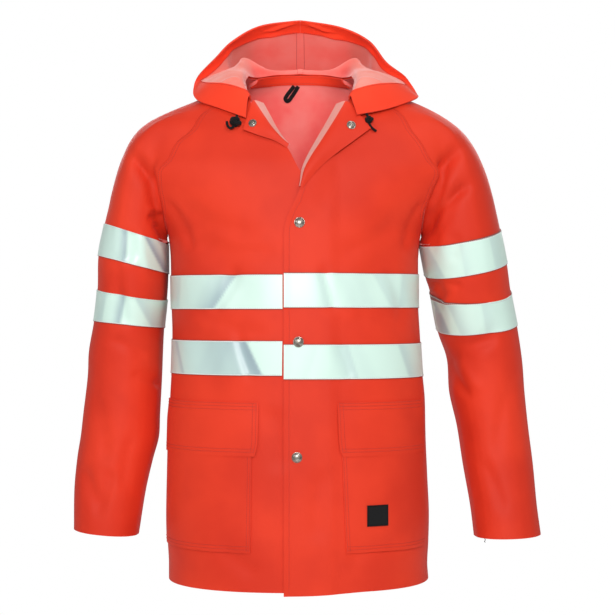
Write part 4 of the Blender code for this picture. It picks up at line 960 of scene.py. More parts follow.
SEAM_DIP = 0.0008  # how deep the hood's middle seam lies


def hood_relief(side, along, across):
    """How far a hood half's cloth moves outwards for its creases, its tunnel and its middle seam."""
    total = TUNNEL_SWELL * np.sin(math.pi * np.clip((across - FACING_START) / (1 - FACING_START), 0, 1))
    total = total - SEAM_DIP * np.exp(-(((1 - along) * HOOD_SPAN[0] / 0.004) ** 2))
    a, b = along * HOOD_SPAN[0], across * HOOD_SPAN[1]
    for along0, across0, along1, across1, width, depth in HOOD_CREASES[side]:
        start = along0 * HOOD_SPAN[0], across0 * HOOD_SPAN[1]
        stop = along1 * HOOD_SPAN[0], across1 * HOOD_SPAN[1]
        total = total - depth * groove(a, b, start, stop, width, HOOD_CREASE_ENDS)
    return total * ease(across / 0.08)


def creased_hood(side):
    surface = hood_surface(side)

    def creased(along, across, out=0.0):
        return surface(along, across, out + hood_relief(side, along, across))

    return creased


# ---------------------------------------------------------------- materials


def new_group(name, inputs, outputs):
    """An empty shader group. An input is its name and its default, or None for a vector."""
    group = bpy.data.node_groups.new(name, "ShaderNodeTree")
    for label, default in inputs:
        kind = "NodeSocketVector" if default is None else "NodeSocketFloat"
        socket = group.interface.new_socket(name=label, in_out="INPUT", socket_type=kind)
        if default is not None:
            socket.default_value = default
    for label in outputs:
        group.interface.new_socket(name=label, in_out="OUTPUT", socket_type="NodeSocketFloat")
    return group, group.nodes.new("NodeGroupInput"), group.nodes.new("NodeGroupOutput")


def feed(tree, made, values):
    """Sets a node's inputs, each by a link where its value is a socket."""
    for key, value in values.items():
        if isinstance(value, bpy.types.NodeSocket):
            tree.links.new(value, made.inputs[key])
        else:
            made.inputs[key].default_value = value


def node(tree, kind, inputs=None, **settings):
    made = tree.nodes.new(kind)
    for key, value in settings.items():
        setattr(made, key, value)
    feed(tree, made, inputs or {})
    return made


def maths(tree, operation, first, second=0.0, clamp=False):
    made = node(tree, "ShaderNodeMath", {0: first, 1: second}, operation=operation, use_clamp=clamp)
    return made.outputs[0]


def ramp_between(tree, value, low, high, to_low=0.0, to_high=1.0):
    inputs = {0: value, 1: low, 2: high, 3: to_low, 4: to_high}
    return node(tree, "ShaderNodeMapRange", inputs, interpolation_type="SMOOTHSTEP").outputs[0]


def blended(tree, share, first, second):
    return node(tree, "ShaderNodeMix", {0: share, 6: first, 7: second}, data_type="RGBA").outputs[2]


def grain_group():
    """Fine grain of a coated or knitted face: a fine pebble with slow patches."""
    group, given, result = new_group(
        "cloth grain",
        [("Place", None), ("Grain", 900.0), ("Patch", 9.0)],
        ["Height", "Patches"],
    )
    for scale, detail, out in (("Grain", 2, "Height"), ("Patch", 3, "Patches")):
        inputs = {"Vector": given.outputs["Place"], "Scale": given.outputs[scale], "Detail": detail}
        feed(group, result, {out: node(group, "ShaderNodeTexNoise", inputs).outputs[0]})
    return group


def knit_group():
    """The wales and courses of a fine warp knit, from a map in metres."""
    group, given, result = new_group("fine knit", [("Map", None), ("Pitch", 0.0011)], ["Height"])
    scale = maths(group, "DIVIDE", math.pi, given.outputs["Pitch"])
    parts = node(group, "ShaderNodeSeparateXYZ", {0: given.outputs["Map"]})
    places = [maths(group, "MULTIPLY", parts.outputs[k], scale) for k in (0, 1)]
    wales, courses = (maths(group, "ABSOLUTE", maths(group, "SINE", place)) for place in places)
    feed(group, result, {"Height": maths(group, "MULTIPLY", wales, courses)})
    return group


GRAIN = grain_group()
KNIT = knit_group()


def new_material(name):
    """A material with its tree, its shader and the places and map that its textures lie on."""
    made = bpy.data.materials.new(name)
    made.use_nodes = True
    place = node(made.node_tree, "ShaderNodeTexCoord")
    return made, made.node_tree, made.node_tree.nodes["Principled BSDF"], place


def grained(tree, place, grain, patch):
    """The height and the patches of the cloth grain."""
    made = node(tree, "ShaderNodeGroup", node_tree=GRAIN)
    feed(tree, made, {"Place": place.outputs["Object"], "Grain": grain, "Patch": patch})
    return made.outputs["Height"], made.outputs["Patches"]


def knitted(tree, place, pitch):
    """The height of the fine knit."""
    made = node(tree, "ShaderNodeGroup", node_tree=KNIT)
    feed(tree, made, {"Map": place.outputs["UV"], "Pitch": pitch})
    return made.outputs["Height"]


def raised(tree, height, distance, strength):
    """The normal of a face with this relief."""
    inputs = {"Height": height, "Distance": distance, "Strength": strength}
    return node(tree, "ShaderNodeBump", inputs).outputs[0]


def coated_cloth(name, lit, shade):
    """Polyurethane coating on a knit: satin, with a faint knit telegraphing through."""
    made, tree, shader, place = new_material(name)
    grain, patches = grained(tree, place, 1300.0, 7.0)
    relief = maths(tree, "ADD", grain, maths(tree, "MULTIPLY", knitted(tree, place, 0.0013), 0.5))
    feed(tree, shader, {
        # Painted shade: slow patches mix a lit and a shaded copy of the coating's colour.
        "Base Color": blended(tree, ramp_between(tree, patches, 0.35, 0.65), shade, lit),
        "Roughness": maths(tree, "ADD", maths(tree, "MULTIPLY", patches, 0.12), 0.48),
        "Normal": raised(tree, relief, 0.00006, 0.7),
        "Specular IOR Level": 0.17,
        "Sheen Weight": 0.02,
        "Sheen Roughness": 0.5,
    })
    return made


def knit_side(name, near, deep, fade_from, fade_to, low=None):
    """The uncoated inner side: a fine knit, paler where it is turned out, and a darker red at the neck (low),
    which is painted shade.
    """
    made, tree, shader, place = new_material(name)
    knit = knitted(tree, place, 0.0016)
    grain, patches = grained(tree, place, 700.0, 16.0)
    parts = node(tree, "ShaderNodeSeparateXYZ", {0: place.outputs["Object"]})
    inside = ramp_between(tree, maths(tree, "ABSOLUTE", parts.outputs[0]), fade_from, fade_to, 1.0, 0.0)
    # Painted shade: below 0.05 m the knit's middle turns to the darker colour low.
    if low:
        deep = blended(tree, ramp_between(tree, parts.outputs[2], 0.05, 0.064, 1.0, 0.0), deep, low)
    mottle = ramp_between(tree, patches, 0.3, 0.7, 0.0, 0.22)
    paler = blended(tree, mottle, blended(tree, inside, near, deep), (1.0, 0.62, 0.55, 1))
    feed(tree, shader, {
        "Base Color": blended(tree, maths(tree, "MULTIPLY", knit, 0.2), paler, (1.0, 0.5, 0.42, 1)),
        "Normal": raised(tree, maths(tree, "ADD", knit, grain), 0.00015, 0.8),
        "Roughness": 0.86,
        "Specular IOR Level": 0.2,
        "Sheen Weight": 0.35,
        "Sheen Roughness": 0.45,
    })
    return made


def reflective(name):
    """Glass-bead tape: mint white with grey bands of painted shade where it bends, a white woven edge, and a
    dark maroon painted shadow along its two long edges.
    """
    made, tree, shader, place = new_material(name)
    parts = node(tree, "ShaderNodeSeparateXYZ", {0: place.outputs["UV"]})
    along, up = parts.outputs[0], parts.outputs[1]

    def border(start, stop):
        """1 from the tape's two long edges to the first distance from them, 0 past the second."""
        low = ramp_between(tree, up, start, stop, 1.0, 0.0)
        high = ramp_between(tree, up, TAPE_WIDTH - stop, TAPE_WIDTH - start)
        return maths(tree, "ADD", low, high, True)

    # Painted shade: the tape turns grey-blue in the bands of its shade attribute and in faint leaning noise
    # bands, standing in for where it turns from the light.
    leaning = maths(tree, "ADD", along, maths(tree, "MULTIPLY", up, 0.45))
    line = node(tree, "ShaderNodeCombineXYZ", {0: leaning, 1: maths(tree, "MULTIPLY", up, 0.12)}).outputs[0]
    soft = node(tree, "ShaderNodeTexNoise", {"Vector": line, "Scale": 14.0, "Detail": 1.5}).outputs[0]
    faint = maths(tree, "MULTIPLY", ramp_between(tree, soft, 0.45, 0.75), 0.16)
    band = node(tree, "ShaderNodeAttribute", attribute_name="shade").outputs["Fac"]
    grey = maths(tree, "ADD", band, faint, True)
    colour = blended(tree, grey, (0.7, 0.92, 0.815, 1), (0.27, 0.36, 0.43, 1))
    edge = border(0.0012, 0.002)
    woven = blended(tree, edge, colour, (0.9, 0.93, 0.9, 1))
    beads = node(tree, "ShaderNodeTexVoronoi", {"Vector": place.outputs["Object"], "Scale": 2200.0})
    feed(tree, shader, {
        # Painted shadow: a dark maroon line, 0.7 to 1 mm wide, along the tape's two long edges.
        "Base Color": blended(tree, border(0.0007, 0.001), woven, (0.26, 0.045, 0.03, 1)),
        "Roughness": ramp_between(tree, edge, 0.0, 1.0, 0.34, 0.75),
        "Normal": raised(tree, beads.outputs[0], 0.00008, 0.35),
        "Specular IOR Level": 0.55,
        "Sheen Weight": 0.15,
    })
    return made


def nickel(name):
    made, tree, shader, place = new_material(name)
    grain, patches = grained(tree, place, 1500.0, 260.0)
    worn = ramp_between(tree, patches, 0.35, 0.62)
    feed(tree, shader, {
        "Base Color": blended(tree, worn, (0.205, 0.18, 0.15, 1), (0.44, 0.41, 0.36, 1)),
        "Roughness": ramp_between(tree, patches, 0.3, 0.7, 0.42, 0.24),
        "Normal": raised(tree, grain, 0.00004, 0.5),
        "Metallic": 1.0,
    })
    return made


def black_weave(name, pitch, roughness=0.8):
    made, tree, shader, place = new_material(name)
    knit = knitted(tree, place, pitch)
    grain, _ = grained(tree, place, 1600.0, 60.0)
    feed(tree, shader, {
        "Base Color": blended(tree, knit, (0.002, 0.002, 0.0025, 1), (0.008, 0.008, 0.009, 1)),
        "Normal": raised(tree, maths(tree, "ADD", knit, grain), 0.0002, 0.9),
        "Roughness": roughness,
        "Specular IOR Level": 0.25,
        "Sheen Weight": 0.04,
    })
    return made


def thread(name, colour):
    made, tree, shader, place = new_material(name)
    _, patches = grained(tree, place, 2500.0, 120.0)
    darker = tuple(0.8 * value for value in colour[:3]) + (1,)
    feed(tree, shader, {"Base Color": blended(tree, patches, darker, colour), "Roughness": 0.7})
    return made


# The coating's lit and shaded colours, mixed in slow patches: painted shade.
OUTER = coated_cloth("orange coating", (0.8, 0.047, 0.017, 1), (0.69, 0.035, 0.013, 1))
# Painted light: a brighter copy of the coating on the hood edge's facing, making up for the shade it lies in.
BRIM = coated_cloth("orange coating of the hood edge", (0.93, 0.056, 0.02, 1), (0.89, 0.05, 0.018, 1))
LINING = knit_side("coral knit inside", (0.9, 0.088, 0.08, 1), (0.9, 0.075, 0.072, 1), 0.02, 0.1)
# Painted light: the middle of the hood's knit (deep) has its red raised almost to full, making up for the
# shade inside the hood; its darker low colour at the neck is painted shade.
HOOD_LINING = knit_side(
    "coral knit of the hood",
    (0.85, 0.165, 0.118, 1), (0.98, 0.135, 0.105, 1), 0.068, 0.088, (0.86, 0.04, 0.03, 1),
)
PALE = (0.76, 0.26, 0.215, 1)
PALE_KNIT = knit_side("pale knit of the front edges", PALE, PALE, 0.1, 0.2)
TAPE_FACE = reflective("retroreflective tape")
NICKEL = nickel("antique nickel")
BLACK = black_weave("black cord and tape", 0.0011)
PATCH = black_weave("black woven patch", 0.0007, 0.7)
THREAD = thread("red sewing thread", (0.6, 0.04, 0.022, 1))
TAPE_THREAD = thread("white sewing thread", (0.72, 0.78, 0.76, 1))


# ---------------------------------------------------------------- making pieces


def steps(start, stop, count, edge=0.0):
    """Even places from start to stop, with one more close to each end where edge says so."""
    places = list(np.linspace(start, stop, count + 1))
    if edge:
        places = sorted({*places, start + edge, stop - edge})
    return np.array(places)


PIECES = {}


def put(name, data):
    """An object with this data, in the scene."""
    made = bpy.data.objects.new(name, data)
    bpy.context.scene.collection.objects.link(made)
    return made


def finished(name, bm, materials, slot, stands_for=False, sharp=50):
    """A mesh object that rides on the jacket, and may stand for the node of its own name."""
    mesh = bpy.data.meshes.new(name)
    bm.to_mesh(mesh)
    bm.free()
    for made_of in materials:
        mesh.materials.append(made_of)
    mesh.shade_smooth()
    mesh.set_sharp_from_angle(angle=math.radians(sharp))
    piece = put(name, mesh)
    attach(piece, "root")
    if stands_for:
        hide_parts(name)
    PIECES[name] = piece
    return piece


def map_in_metres(points):
    """A map for a grid of points: the way along its rows and up its columns."""
    across = np.linalg.norm(np.diff(points, axis=1), axis=2)
    up = np.linalg.norm(np.diff(points, axis=0), axis=2)
    u = np.concatenate([np.zeros((len(points), 1)), np.cumsum(across, axis=1)], axis=1)
    v = np.concatenate([np.zeros((1, points.shape[1])), np.cumsum(up, axis=0)], axis=0)
    return np.stack([u, v], axis=-1).reshape(-1, 2)


def cloth(
    name, surface, columns, rows, materials, slot,
    out=0.0, thick=WALL, closed=False, inner_rows=0, stands_for=True,
):
    """A cloth piece with both its faces, from a surface of two numbers.

    Its outer face lies out from the surface. The last material is on its inner
    face, and on the first inner_rows rows of the outer one.
    """
    bm = bmesh.new()
    bmesh.ops.create_grid(bm, x_segments=len(columns) - 1, y_segments=len(rows) - 1, size=0.5)
    tag = bm.verts.layers.int.new("point")
    across, along = np.meshgrid(columns, rows)
    far = surface(across.ravel(), along.ravel(), out)
    near = surface(across.ravel(), along.ravel(), out - thick)
    for index, vert in enumerate(bm.verts):
        vert.co = far[index]
        vert[tag] = index
    if closed:
        bmesh.ops.remove_doubles(bm, verts=bm.verts, dist=1e-5)
    made = bmesh.ops.extrude_face_region(bm, geom=bm.faces[:], use_keep_orig=True)
    for part in made["geom"]:
        if isinstance(part, bmesh.types.BMVert):
            part.co = near[part[tag]]
        elif isinstance(part, bmesh.types.BMFace):
            part.material_index = len(materials) - 1
    limit = len(columns) * inner_rows
    for face in bm.faces:
        if all(vert[tag] < limit for vert in face.verts):
            face.material_index = len(materials) - 1
    bmesh.ops.recalc_face_normals(bm, faces=bm.faces)
    piece = finished(name, bm, materials, slot, stands_for)
    mesh = piece.data
    places = map_in_metres(far.reshape(len(rows), len(columns), 3))
    corner = np.empty(len(mesh.loops), int)
    mesh.loops.foreach_get("vertex_index", corner)
    point = np.empty(len(mesh.vertices), int)
    mesh.attributes["point"].data.foreach_get("value", point)
    layer = mesh.uv_layers.new(name="metres")
    layer.uv.foreach_set("vector", places[point[corner]].astype(np.float32).ravel())
    mesh.attributes.remove(mesh.attributes["point"])
    if materials[0] is TAPE_FACE:
        shade = mesh.attributes.new("shade", "FLOAT", "POINT")
        shade.data.foreach_set("value", tape_shade(name, mesh))
    return piece


def tape_shade(name, mesh):
    """How grey a tape is at each of its points, from the bands of its table."""
    place = np.empty(3 * len(mesh.vertices), np.float32)
    mesh.vertices.foreach_get("co", place)
    x, y, z = place.reshape(-1, 3).T
    total = np.zeros(len(x))
    for at_x, at_z, lean, reach, strength, face in TAPE_BANDS[name]:
        away = (x - at_x - lean * (z - at_z)) * math.copysign(1, reach)
        near = ease((away + 0.003) / 0.005) * np.exp(-((np.maximum(away, 0) / abs(reach)) ** 2))
        total += strength * near * (y * face < 0.01)
    return np.clip(total, 0, 1).astype(np.float32)


# Grey bands where a tape turns from the light, for each tape, a row for each:
# the sharp edge's x and height, its lean, how far the band reaches from it,
# how grey it is, and the face that it is on.
TAPE_BANDS = {
    "tape_upper_front_right": (
        (-0.104, -0.285, 0.68, -0.018, 0.42, 1),
        (-0.104, -0.285, 0.68, -0.07, 0.2, 1),
        (-0.174, -0.285, 0.05, -0.012, 0.2, 1),
    ),
    "tape_lower_front_right": (
        (-0.066, -0.38, -0.49, -0.022, 0.36, 1),
        (-0.066, -0.38, -0.49, -0.13, 0.46, 1),
        (-0.174, -0.38, -0.25, -0.005, 0.4, 1),
    ),
    "tape_upper_front_left": (
        (0.037, -0.285, -0.25, -0.02, 0.2, 1),
        (0.117, -0.285, -0.55, 0.024, 0.2, 1),
        (0.146, -0.285, 0.1, 0.014, 0.18, 1),
    ),
    "tape_lower_front_left": (
        (0.074, -0.382, -0.3, -0.024, 0.22, 1),
        (0.148, -0.382, -0.35, 0.016, 0.32, 1),
        (0.02, -0.382, 0.3, -0.016, 0.1, 1),
    ),
    "tape_upper_sleeve_right": (
        (-0.252, -0.225, 0.05, -0.007, 0.75, 1),
        (-0.256, -0.225, 0.05, -0.04, 0.16, 1),
        (-0.217, -0.225, -0.47, 0.008, 0.9, 1),
        (-0.199, -0.235, -0.3, 0.004, 0.5, 1),
        (-0.25, -0.225, 0.3, -0.016, 0.4, -1),
    ),
    "tape_lower_sleeve_right": (
        (-0.26, -0.32, 0.22, -0.011, 0.68, 1),
        (-0.226, -0.325, -0.5, 0.016, 0.36, 1),
        (-0.288, -0.315, 0.2, -0.01, 0.3, 1),
        (-0.24, -0.32, -0.3, 0.018, 0.36, -1),
    ),
    "tape_upper_sleeve_left": (
        (0.233, -0.225, -0.2, 0.01, 0.16, 1),
        (0.278, -0.215, -0.25, 0.016, 0.22, 1),
        (0.198, -0.24, -0.5, -0.014, 0.3, 1),
        (0.245, -0.225, -0.3, 0.018, 0.38, -1),
    ),
    "tape_lower_sleeve_left": (
        (0.21, -0.32, -0.4, -0.016, 0.62, 1),
        (0.224, -0.32, -0.45, 0.014, 0.26, 1),
        (0.268, -0.315, -0.2, 0.018, 0.2, 1),
        (0.25, -0.32, 0.35, -0.018, 0.36, -1),
    ),
    "tape_upper_back": (
        (-0.07, -0.285, 0.6, -0.03, 0.4, -1),
        (0.085, -0.285, -0.45, 0.035, 0.3, -1),
        (0.15, -0.285, 0.1, 0.02, 0.25, -1),
    ),
    "tape_lower_back": (
        (0.03, -0.38, 0.45, -0.028, 0.34, -1),
        (-0.12, -0.38, -0.35, -0.04, 0.3, -1),
        (0.125, -0.38, -0.5, 0.02, 0.3, -1),
    ),
}


def along_line(surface, across, along, out, pitch):
    """Points, directions and normals at even steps along a line on a surface."""
    across, along = np.asarray(across, float), np.asarray(along, float)
    points = surface(across, along, out)
    lift = unit(surface(across, along, out + 0.001) - points)
    walked = walk(points)
    count = max(2, int(walked[-1] / pitch))
    at = (np.arange(count) + 0.5) / count * walked[-1]

    def values(of, place):
        return np.stack([np.interp(place, walked, part) for part in of.T], axis=-1)

    ahead = values(points, at + pitch / 3) - values(points, at - pitch / 3)
    return values(points, at), unit(ahead), unit(values(lift, at))


STITCH_PITCH = 0.0032  # from one stitch to the next
STITCH_SIZE = (0.0024, 0.0007, 0.0005)  # length, width and height of a stitch


def sewn(name, lines, made_of, slot, size=STITCH_SIZE, pitch=STITCH_PITCH):
    """Rows of stitches as one mesh.

    Each line is a surface, two lists of places, a height over it, and -1 where
    the stitches lie on its inner side.
    """
    bm = bmesh.new()
    corners = np.array([(x, y, z) for x in (-0.5, 0.5) for y in (-0.5, 0.5) for z in (0, 1)])
    corners = corners * np.array(size)
    corners[:, :2] *= np.where(corners[:, 2:] > 0, 0.7, 1.0)
    faces = ((0, 1, 3, 2), (4, 6, 7, 5), (0, 4, 5, 1), (2, 3, 7, 6), (1, 5, 7, 3), (0, 2, 6, 4))
    for surface, across, along, out, *inner in lines:
        for place, ahead, normal in zip(*along_line(surface, across, along, out, pitch)):
            normal = normal * (inner[0] if inner else 1)
            side = np.cross(normal, ahead)
            spots = place + corners[:, :1] * ahead + corners[:, 1:2] * side + corners[:, 2:] * normal
            verts = [bm.verts.new(spot) for spot in spots]
            for face in faces:
                bm.faces.new([verts[k] for k in face])
    bmesh.ops.recalc_face_normals(bm, faces=bm.faces)
    finished(name, bm, [made_of], slot)


def inset(surface, share, height, offset):
    """The share at a distance along the cloth from another share, at each height."""
    height = np.asarray(height, float)
    share = np.broadcast_to(np.asarray(share, float), height.shape)
    step = 0.01
    gap = np.linalg.norm(surface(share + step, height) - surface(share - step, height), axis=-1)
    return share + offset * 2 * step / gap


def spun(name, profile, centre, normal):
    """A round nickel part, its (radius, height) profile spun about its own axis."""
    bm = bmesh.new()
    line = [bm.verts.new((radius, 0, height)) for radius, height in profile]
    edges = [bm.edges.new(pair) for pair in zip(line, line[1:])]
    bmesh.ops.spin(
        bm, geom=[*line, *edges], cent=(0, 0, 0), axis=(0, 0, 1), steps=48, angle=2 * math.pi, use_merge=True
    )
    bmesh.ops.remove_doubles(bm, verts=bm.verts, dist=1e-6)
    axis = unit(np.array(normal, float))
    side = unit(np.cross(axis, np.array([0.0, 0.0, 1.0])))
    other = np.cross(axis, side)
    for vert in bm.verts:
        x, y, z = vert.co
        vert.co = np.array(centre) + side * x + other * y + axis * z
    bmesh.ops.recalc_face_normals(bm, faces=bm.faces)
    finished(name, bm, [NICKEL], "antique_nickel", True, 35)


# ---------------------------------------------------------------- camera and light
CAMERA_AT = (0.01125, -2.3, -0.31125)
LENS = 89.756  # mm
FLOOR = -1.4  # the floor under a wearer's shoulders
AMBIENT = 0.36  # strength of the light from all round
# A row for each lamp: name, place, target, width and power.
LAMPS = (
    ("key", (1.2, -2.1, 1.7), (0.0, 0.0, -0.15), 0.8, 18),
    ("front", (-0.1, -3.0, 0.45), (0.0, 0.0, -0.05), 0.5, 42),
    ("fill", (-2.0, -1.8, 0.6), (0.0, 0.0, -0.3), 1.0, 7),
    ("top", (0.2, 0.9, 2.0), (0.0, 0.0, -0.2), 1.4, 8),
    ("back left", (-1.2, 2.6, 0.8), (0.0, 0.0, -0.3), 1.2, 15),
    ("back right", (1.2, 2.6, 0.7), (0.0, 0.0, -0.3), 1.2, 15),
)
HOOD_BEAM = 480  # power of the beam into the hood
HOOD_BEAM_SPREAD = math.radians(4.0)


def add_camera():
    data = bpy.data.cameras.new("camera")
    data.lens = LENS
    camera = put("camera", data)
    camera.location = CAMERA_AT
    camera.rotation_euler = (math.radians(90), 0, 0)
    bpy.context.scene.camera = camera


def aim(name, data, place, target):
    """A lamp at a place, turned to its target."""
    lamp = put(name, data)
    way = np.array(target) - np.array(place)
    lamp.location = place
    lamp.rotation_euler = (math.atan2(math.hypot(way[0], way[1]), -way[2]), 0, math.atan2(-way[0], way[1]))


def add_lamps():
    for name, place, target, size, power in LAMPS:
        data = bpy.data.lights.new(name, "AREA")
        data.shape = "DISK"
        data.size = size
        data.energy = power
        aim(name, data, place, target)


def add_hood_lamp():
    """A narrow soft beam into the hood, whose knit would lie in shadow without it."""
    beam = bpy.data.lights.new("hood beam", "SPOT")
    beam.energy = HOOD_BEAM
    beam.spot_size = HOOD_BEAM_SPREAD
    beam.spot_blend = 0.9
    beam.shadow_soft_size = 0.15
    aim("hood", beam, (0.0, -2.6, 0.3), (0.0, 0.12, 0.095))


def add_stage():
    bm = bmesh.new()
    bmesh.ops.create_circle(bm, cap_ends=True, segments=96, radius=3.0)
    for vert in bm.verts:
        vert.co.z = FLOOR
    mesh = bpy.data.meshes.new("floor")
    bm.to_mesh(mesh)
    bm.free()
    floor = put("floor", mesh)
    made, tree, shader, place = new_material("pale floor")
    patches = node(tree, "ShaderNodeTexNoise", {"Vector": place.outputs["Object"], "Scale": 1.5})
    colour = blended(tree, patches.outputs[0], (0.9, 0.9, 0.9, 1), (0.93, 0.93, 0.93, 1))
    feed(tree, shader, {"Base Color": colour, "Roughness": 0.8})
    mesh.materials.append(made)


def add_world():
    """White behind the jacket and a softer white light from all round."""
    world = bpy.data.worlds.new("studio")
    world.use_nodes = True
    tree = world.node_tree
    tree.nodes.clear()
    seen = node(tree, "ShaderNodeLightPath").outputs["Is Camera Ray"]
    strength = node(tree, "ShaderNodeMapRange", {0: seen, 3: AMBIENT, 4: 1.0}).outputs[0]
    light = node(tree, "ShaderNodeBackground", {"Color": (1, 1, 1, 1), "Strength": strength})
    result = tree.nodes.new("ShaderNodeOutputWorld")
    tree.links.new(light.outputs[0], result.inputs[0])
    bpy.context.scene.world = world


add_camera()
add_lamps()
add_hood_lamp()
add_stage()
add_world()
bpy.context.scene.view_settings.view_transform = "Standard"

# ---------------------------------------------------------------- drawcord first


def knot_line(radius, middle, axis):
    """An overhand knot pulled tight, as a closed line round the cord."""
    axis = unit(np.array(axis, float))
    side = unit(np.cross(axis, np.array([0.0, 1.0, 0.2])))
    other = np.cross(axis, side)
    turn = np.linspace(0, 2 * math.pi, 73)[:-1]
    out = radius * (0.78 + 0.36 * np.cos(3 * turn))
    up = radius * 0.55 * np.sin(3 * turn)
    flat = side * (out * np.cos(2 * turn))[:, None] + other * (out * np.sin(2 * turn))[:, None]
    return np.array(middle) + flat + axis * up[:, None]


def tube(name, line, radius, made_of, closed=False):
    """A round cord along a line, which stands for the node of its own name."""
    data = bpy.data.curves.new(name, "CURVE")
    data.dimensions = "3D"
    data.bevel_depth = radius
    data.bevel_resolution = 3
    data.use_fill_caps = True
    spline = data.splines.new("POLY")
    spline.use_cyclic_u = closed
    spline.points.add(len(line) - 1)
    for spot, point in zip(spline.points, line):
        spot.co = (*point, 1)
    data.materials.append(made_of)
    piece = put(name, data)
    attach(piece, "root")
    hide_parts(name)
    return piece


KNOT_SWELL = (1.12, 1.15)  # how much wider than its ring, and thicker than its coil, a knotted cord is


def add_drawcord():
    for side, moves in CORDS.items():
        hood = hood_surface(side)
        share, edge = np.array([CORD_EXIT[side]]), np.array([1.0])
        start = hood(share, edge, -WALL)[0]
        points = start + unit(start - hood(share, edge - 0.02, -WALL)[0]) * CORD_GAP + np.array(moves)
        line = flowing(points, np.linspace(0, len(points) - 1, 37))
        cord = tube(f"drawcord_{side}", line, CORD_RADIUS, BLACK)
        axis = points[KNOT_AT + 1] - points[KNOT_AT - 1]
        coil = knot_line(KNOT_RING[side] * KNOT_SWELL[0], points[KNOT_AT], axis)
        knot = tube(f"knot_{side}", coil, KNOT_COIL[side] * KNOT_SWELL[1], BLACK, closed=True)
        tuple(points[0])


add_drawcord()

# ---------------------------------------------------------------- body panels
FRONT_TILES = {"left": (86, 214), "right": (80, 214)}  # columns and rows of the fronts' cloth
BACK_TILES = (128, 214)  # columns and rows of the back's cloth
TAPE_TILES = 14  # rows of a tape
POCKET_END = {"left": 0.94, "right": 0.93}  # share of the front at which pockets and flaps end
POCKET_PUFF = 0.0012  # how far a pocket's middle swells
POCKETS = (
    ("pocket", POCKET_SLANT, POCKET_BOTTOM, POCKET_TOP, 50),
    ("flap", FLAP_SLANT, FLAP_BOTTOM, FLAP_TOP, 24),
)
TAPE_TOPS = {"left": LEFT_TAPES, "right": RIGHT_TAPES}
SIDE_REACH = {"left": 1, "right": 1.0005}  # last share of a front, past 1 where the side seam would gape


def patch_surface(side, edges):
    """The front from a pocket's or flap's own edge (0) to the end beside the side seam (1)."""
    front = front_surface(side)

    def surface(across, height, out=0.0):
        start = share_at(side, read_off(SLANT, edges, side, height), height)
        share = start + (POCKET_END[side] - start) * across
        if edges is FLAP_SLANT:
            lift = (WALL + SEAM) * (1 - ease((height - POCKET_TOP) / (FLAP_TOP - POCKET_TOP)))
        else:
            lift = POCKET_PUFF * np.sin(math.pi * np.clip(across, 0, 1))
        return front(share, height, out + lift)

    return surface


HEM_DROP = 0.0045  # how much lower the left front's free corner hangs
HEM_DROP_RISE = 0.06  # height above the hem over which the cloth takes up the drop


def hanging_front(side):
    """The front's surface, its hem lower towards the left front's free edge."""
    front = front_surface(side)

    def surface(share, height, out=0.0):
        place = front(share, height, out)
        if side == "left":
            near = 1 - ease(share / 0.4)
            place[..., 2] -= HEM_DROP * near * (1 - ease((height - HEM) / HEM_DROP_RISE))
        return place

    return surface


def tape(name, surface, columns, rows, closed=False):
    """A tape that lies on a surface."""
    cloth(f"tape_{name}", surface, columns, rows, [TAPE_FACE], "reflective_tape", SEAM + TAPE, TAPE, closed)


def add_fronts():
    for side in SIGN:
        front = hanging_front(side)
        columns, rows = FRONT_TILES[side]
        heights = steps(HEM, FRONT_STATIONS[-1], rows, 0.0012)
        across = steps(0, SIDE_REACH[side], columns, 0.004)
        cloth(f"front_{side}", front, across, heights, [OUTER, LINING], "coated_cloth")
        columns = steps(0, 1, 36, 0.008)
        for name, edges, low, high, count in POCKETS:
            surface, rows = patch_surface(side, edges), steps(low, high, count, 0.001)
            cloth(f"{name}_{side}", surface, columns, rows, [OUTER], "coated_cloth", SEAM + WALL)
        columns = steps(RIGHT_TAPE_START if side == "right" else 0, 1, 80, 0.003)
        for name, top in TAPE_TOPS[side].items():
            tape(f"{name}_front_{side}", front, columns, steps(top - TAPE_WIDTH, top, TAPE_TILES, 0.0008))


def add_back():
    columns, rows = steps(0, 1, BACK_TILES[0], 0.003), steps(HEM, BACK_STATIONS[-1], BACK_TILES[1], 0.0012)
    cloth("back", back_surface, columns, rows, [OUTER, LINING], "coated_cloth")
    for name, top in LEFT_TAPES.items():
        tape(f"{name}_back", back_surface, columns, steps(top - TAPE_WIDTH, top, TAPE_TILES, 0.0008))


SLEEVE_TILES = (130, 48, 15)  # round the sleeve, along its shoulder, and to each of its rings


def add_sleeves():
    for side, rings in SLEEVES.items():
        surface = sleeve_cloth(side)
        turns = sleeve_turns(side, folded_body)
        columns = np.interp(np.linspace(0, 1, SLEEVE_TILES[0] + 1), np.linspace(0, 1, len(turns)), turns)
        last = len(rings) - 1
        stations = np.concatenate([steps(-1, 0, SLEEVE_TILES[1]), steps(0, last, SLEEVE_TILES[2] * last)[1:]])
        cloth(f"sleeve_{side}", surface, columns, stations, [OUTER, LINING], "coated_cloth", closed=True)
        for name, (start, stop) in SLEEVE_TAPES.items():
            rows = steps(start, stop, TAPE_TILES, 0.016)[::-1]
            tape(f"{name}_sleeve_{side}", surface, columns, rows, closed=True)


HOOD_SEAM = 0.005  # half the width of the felled seam down the hood's middle


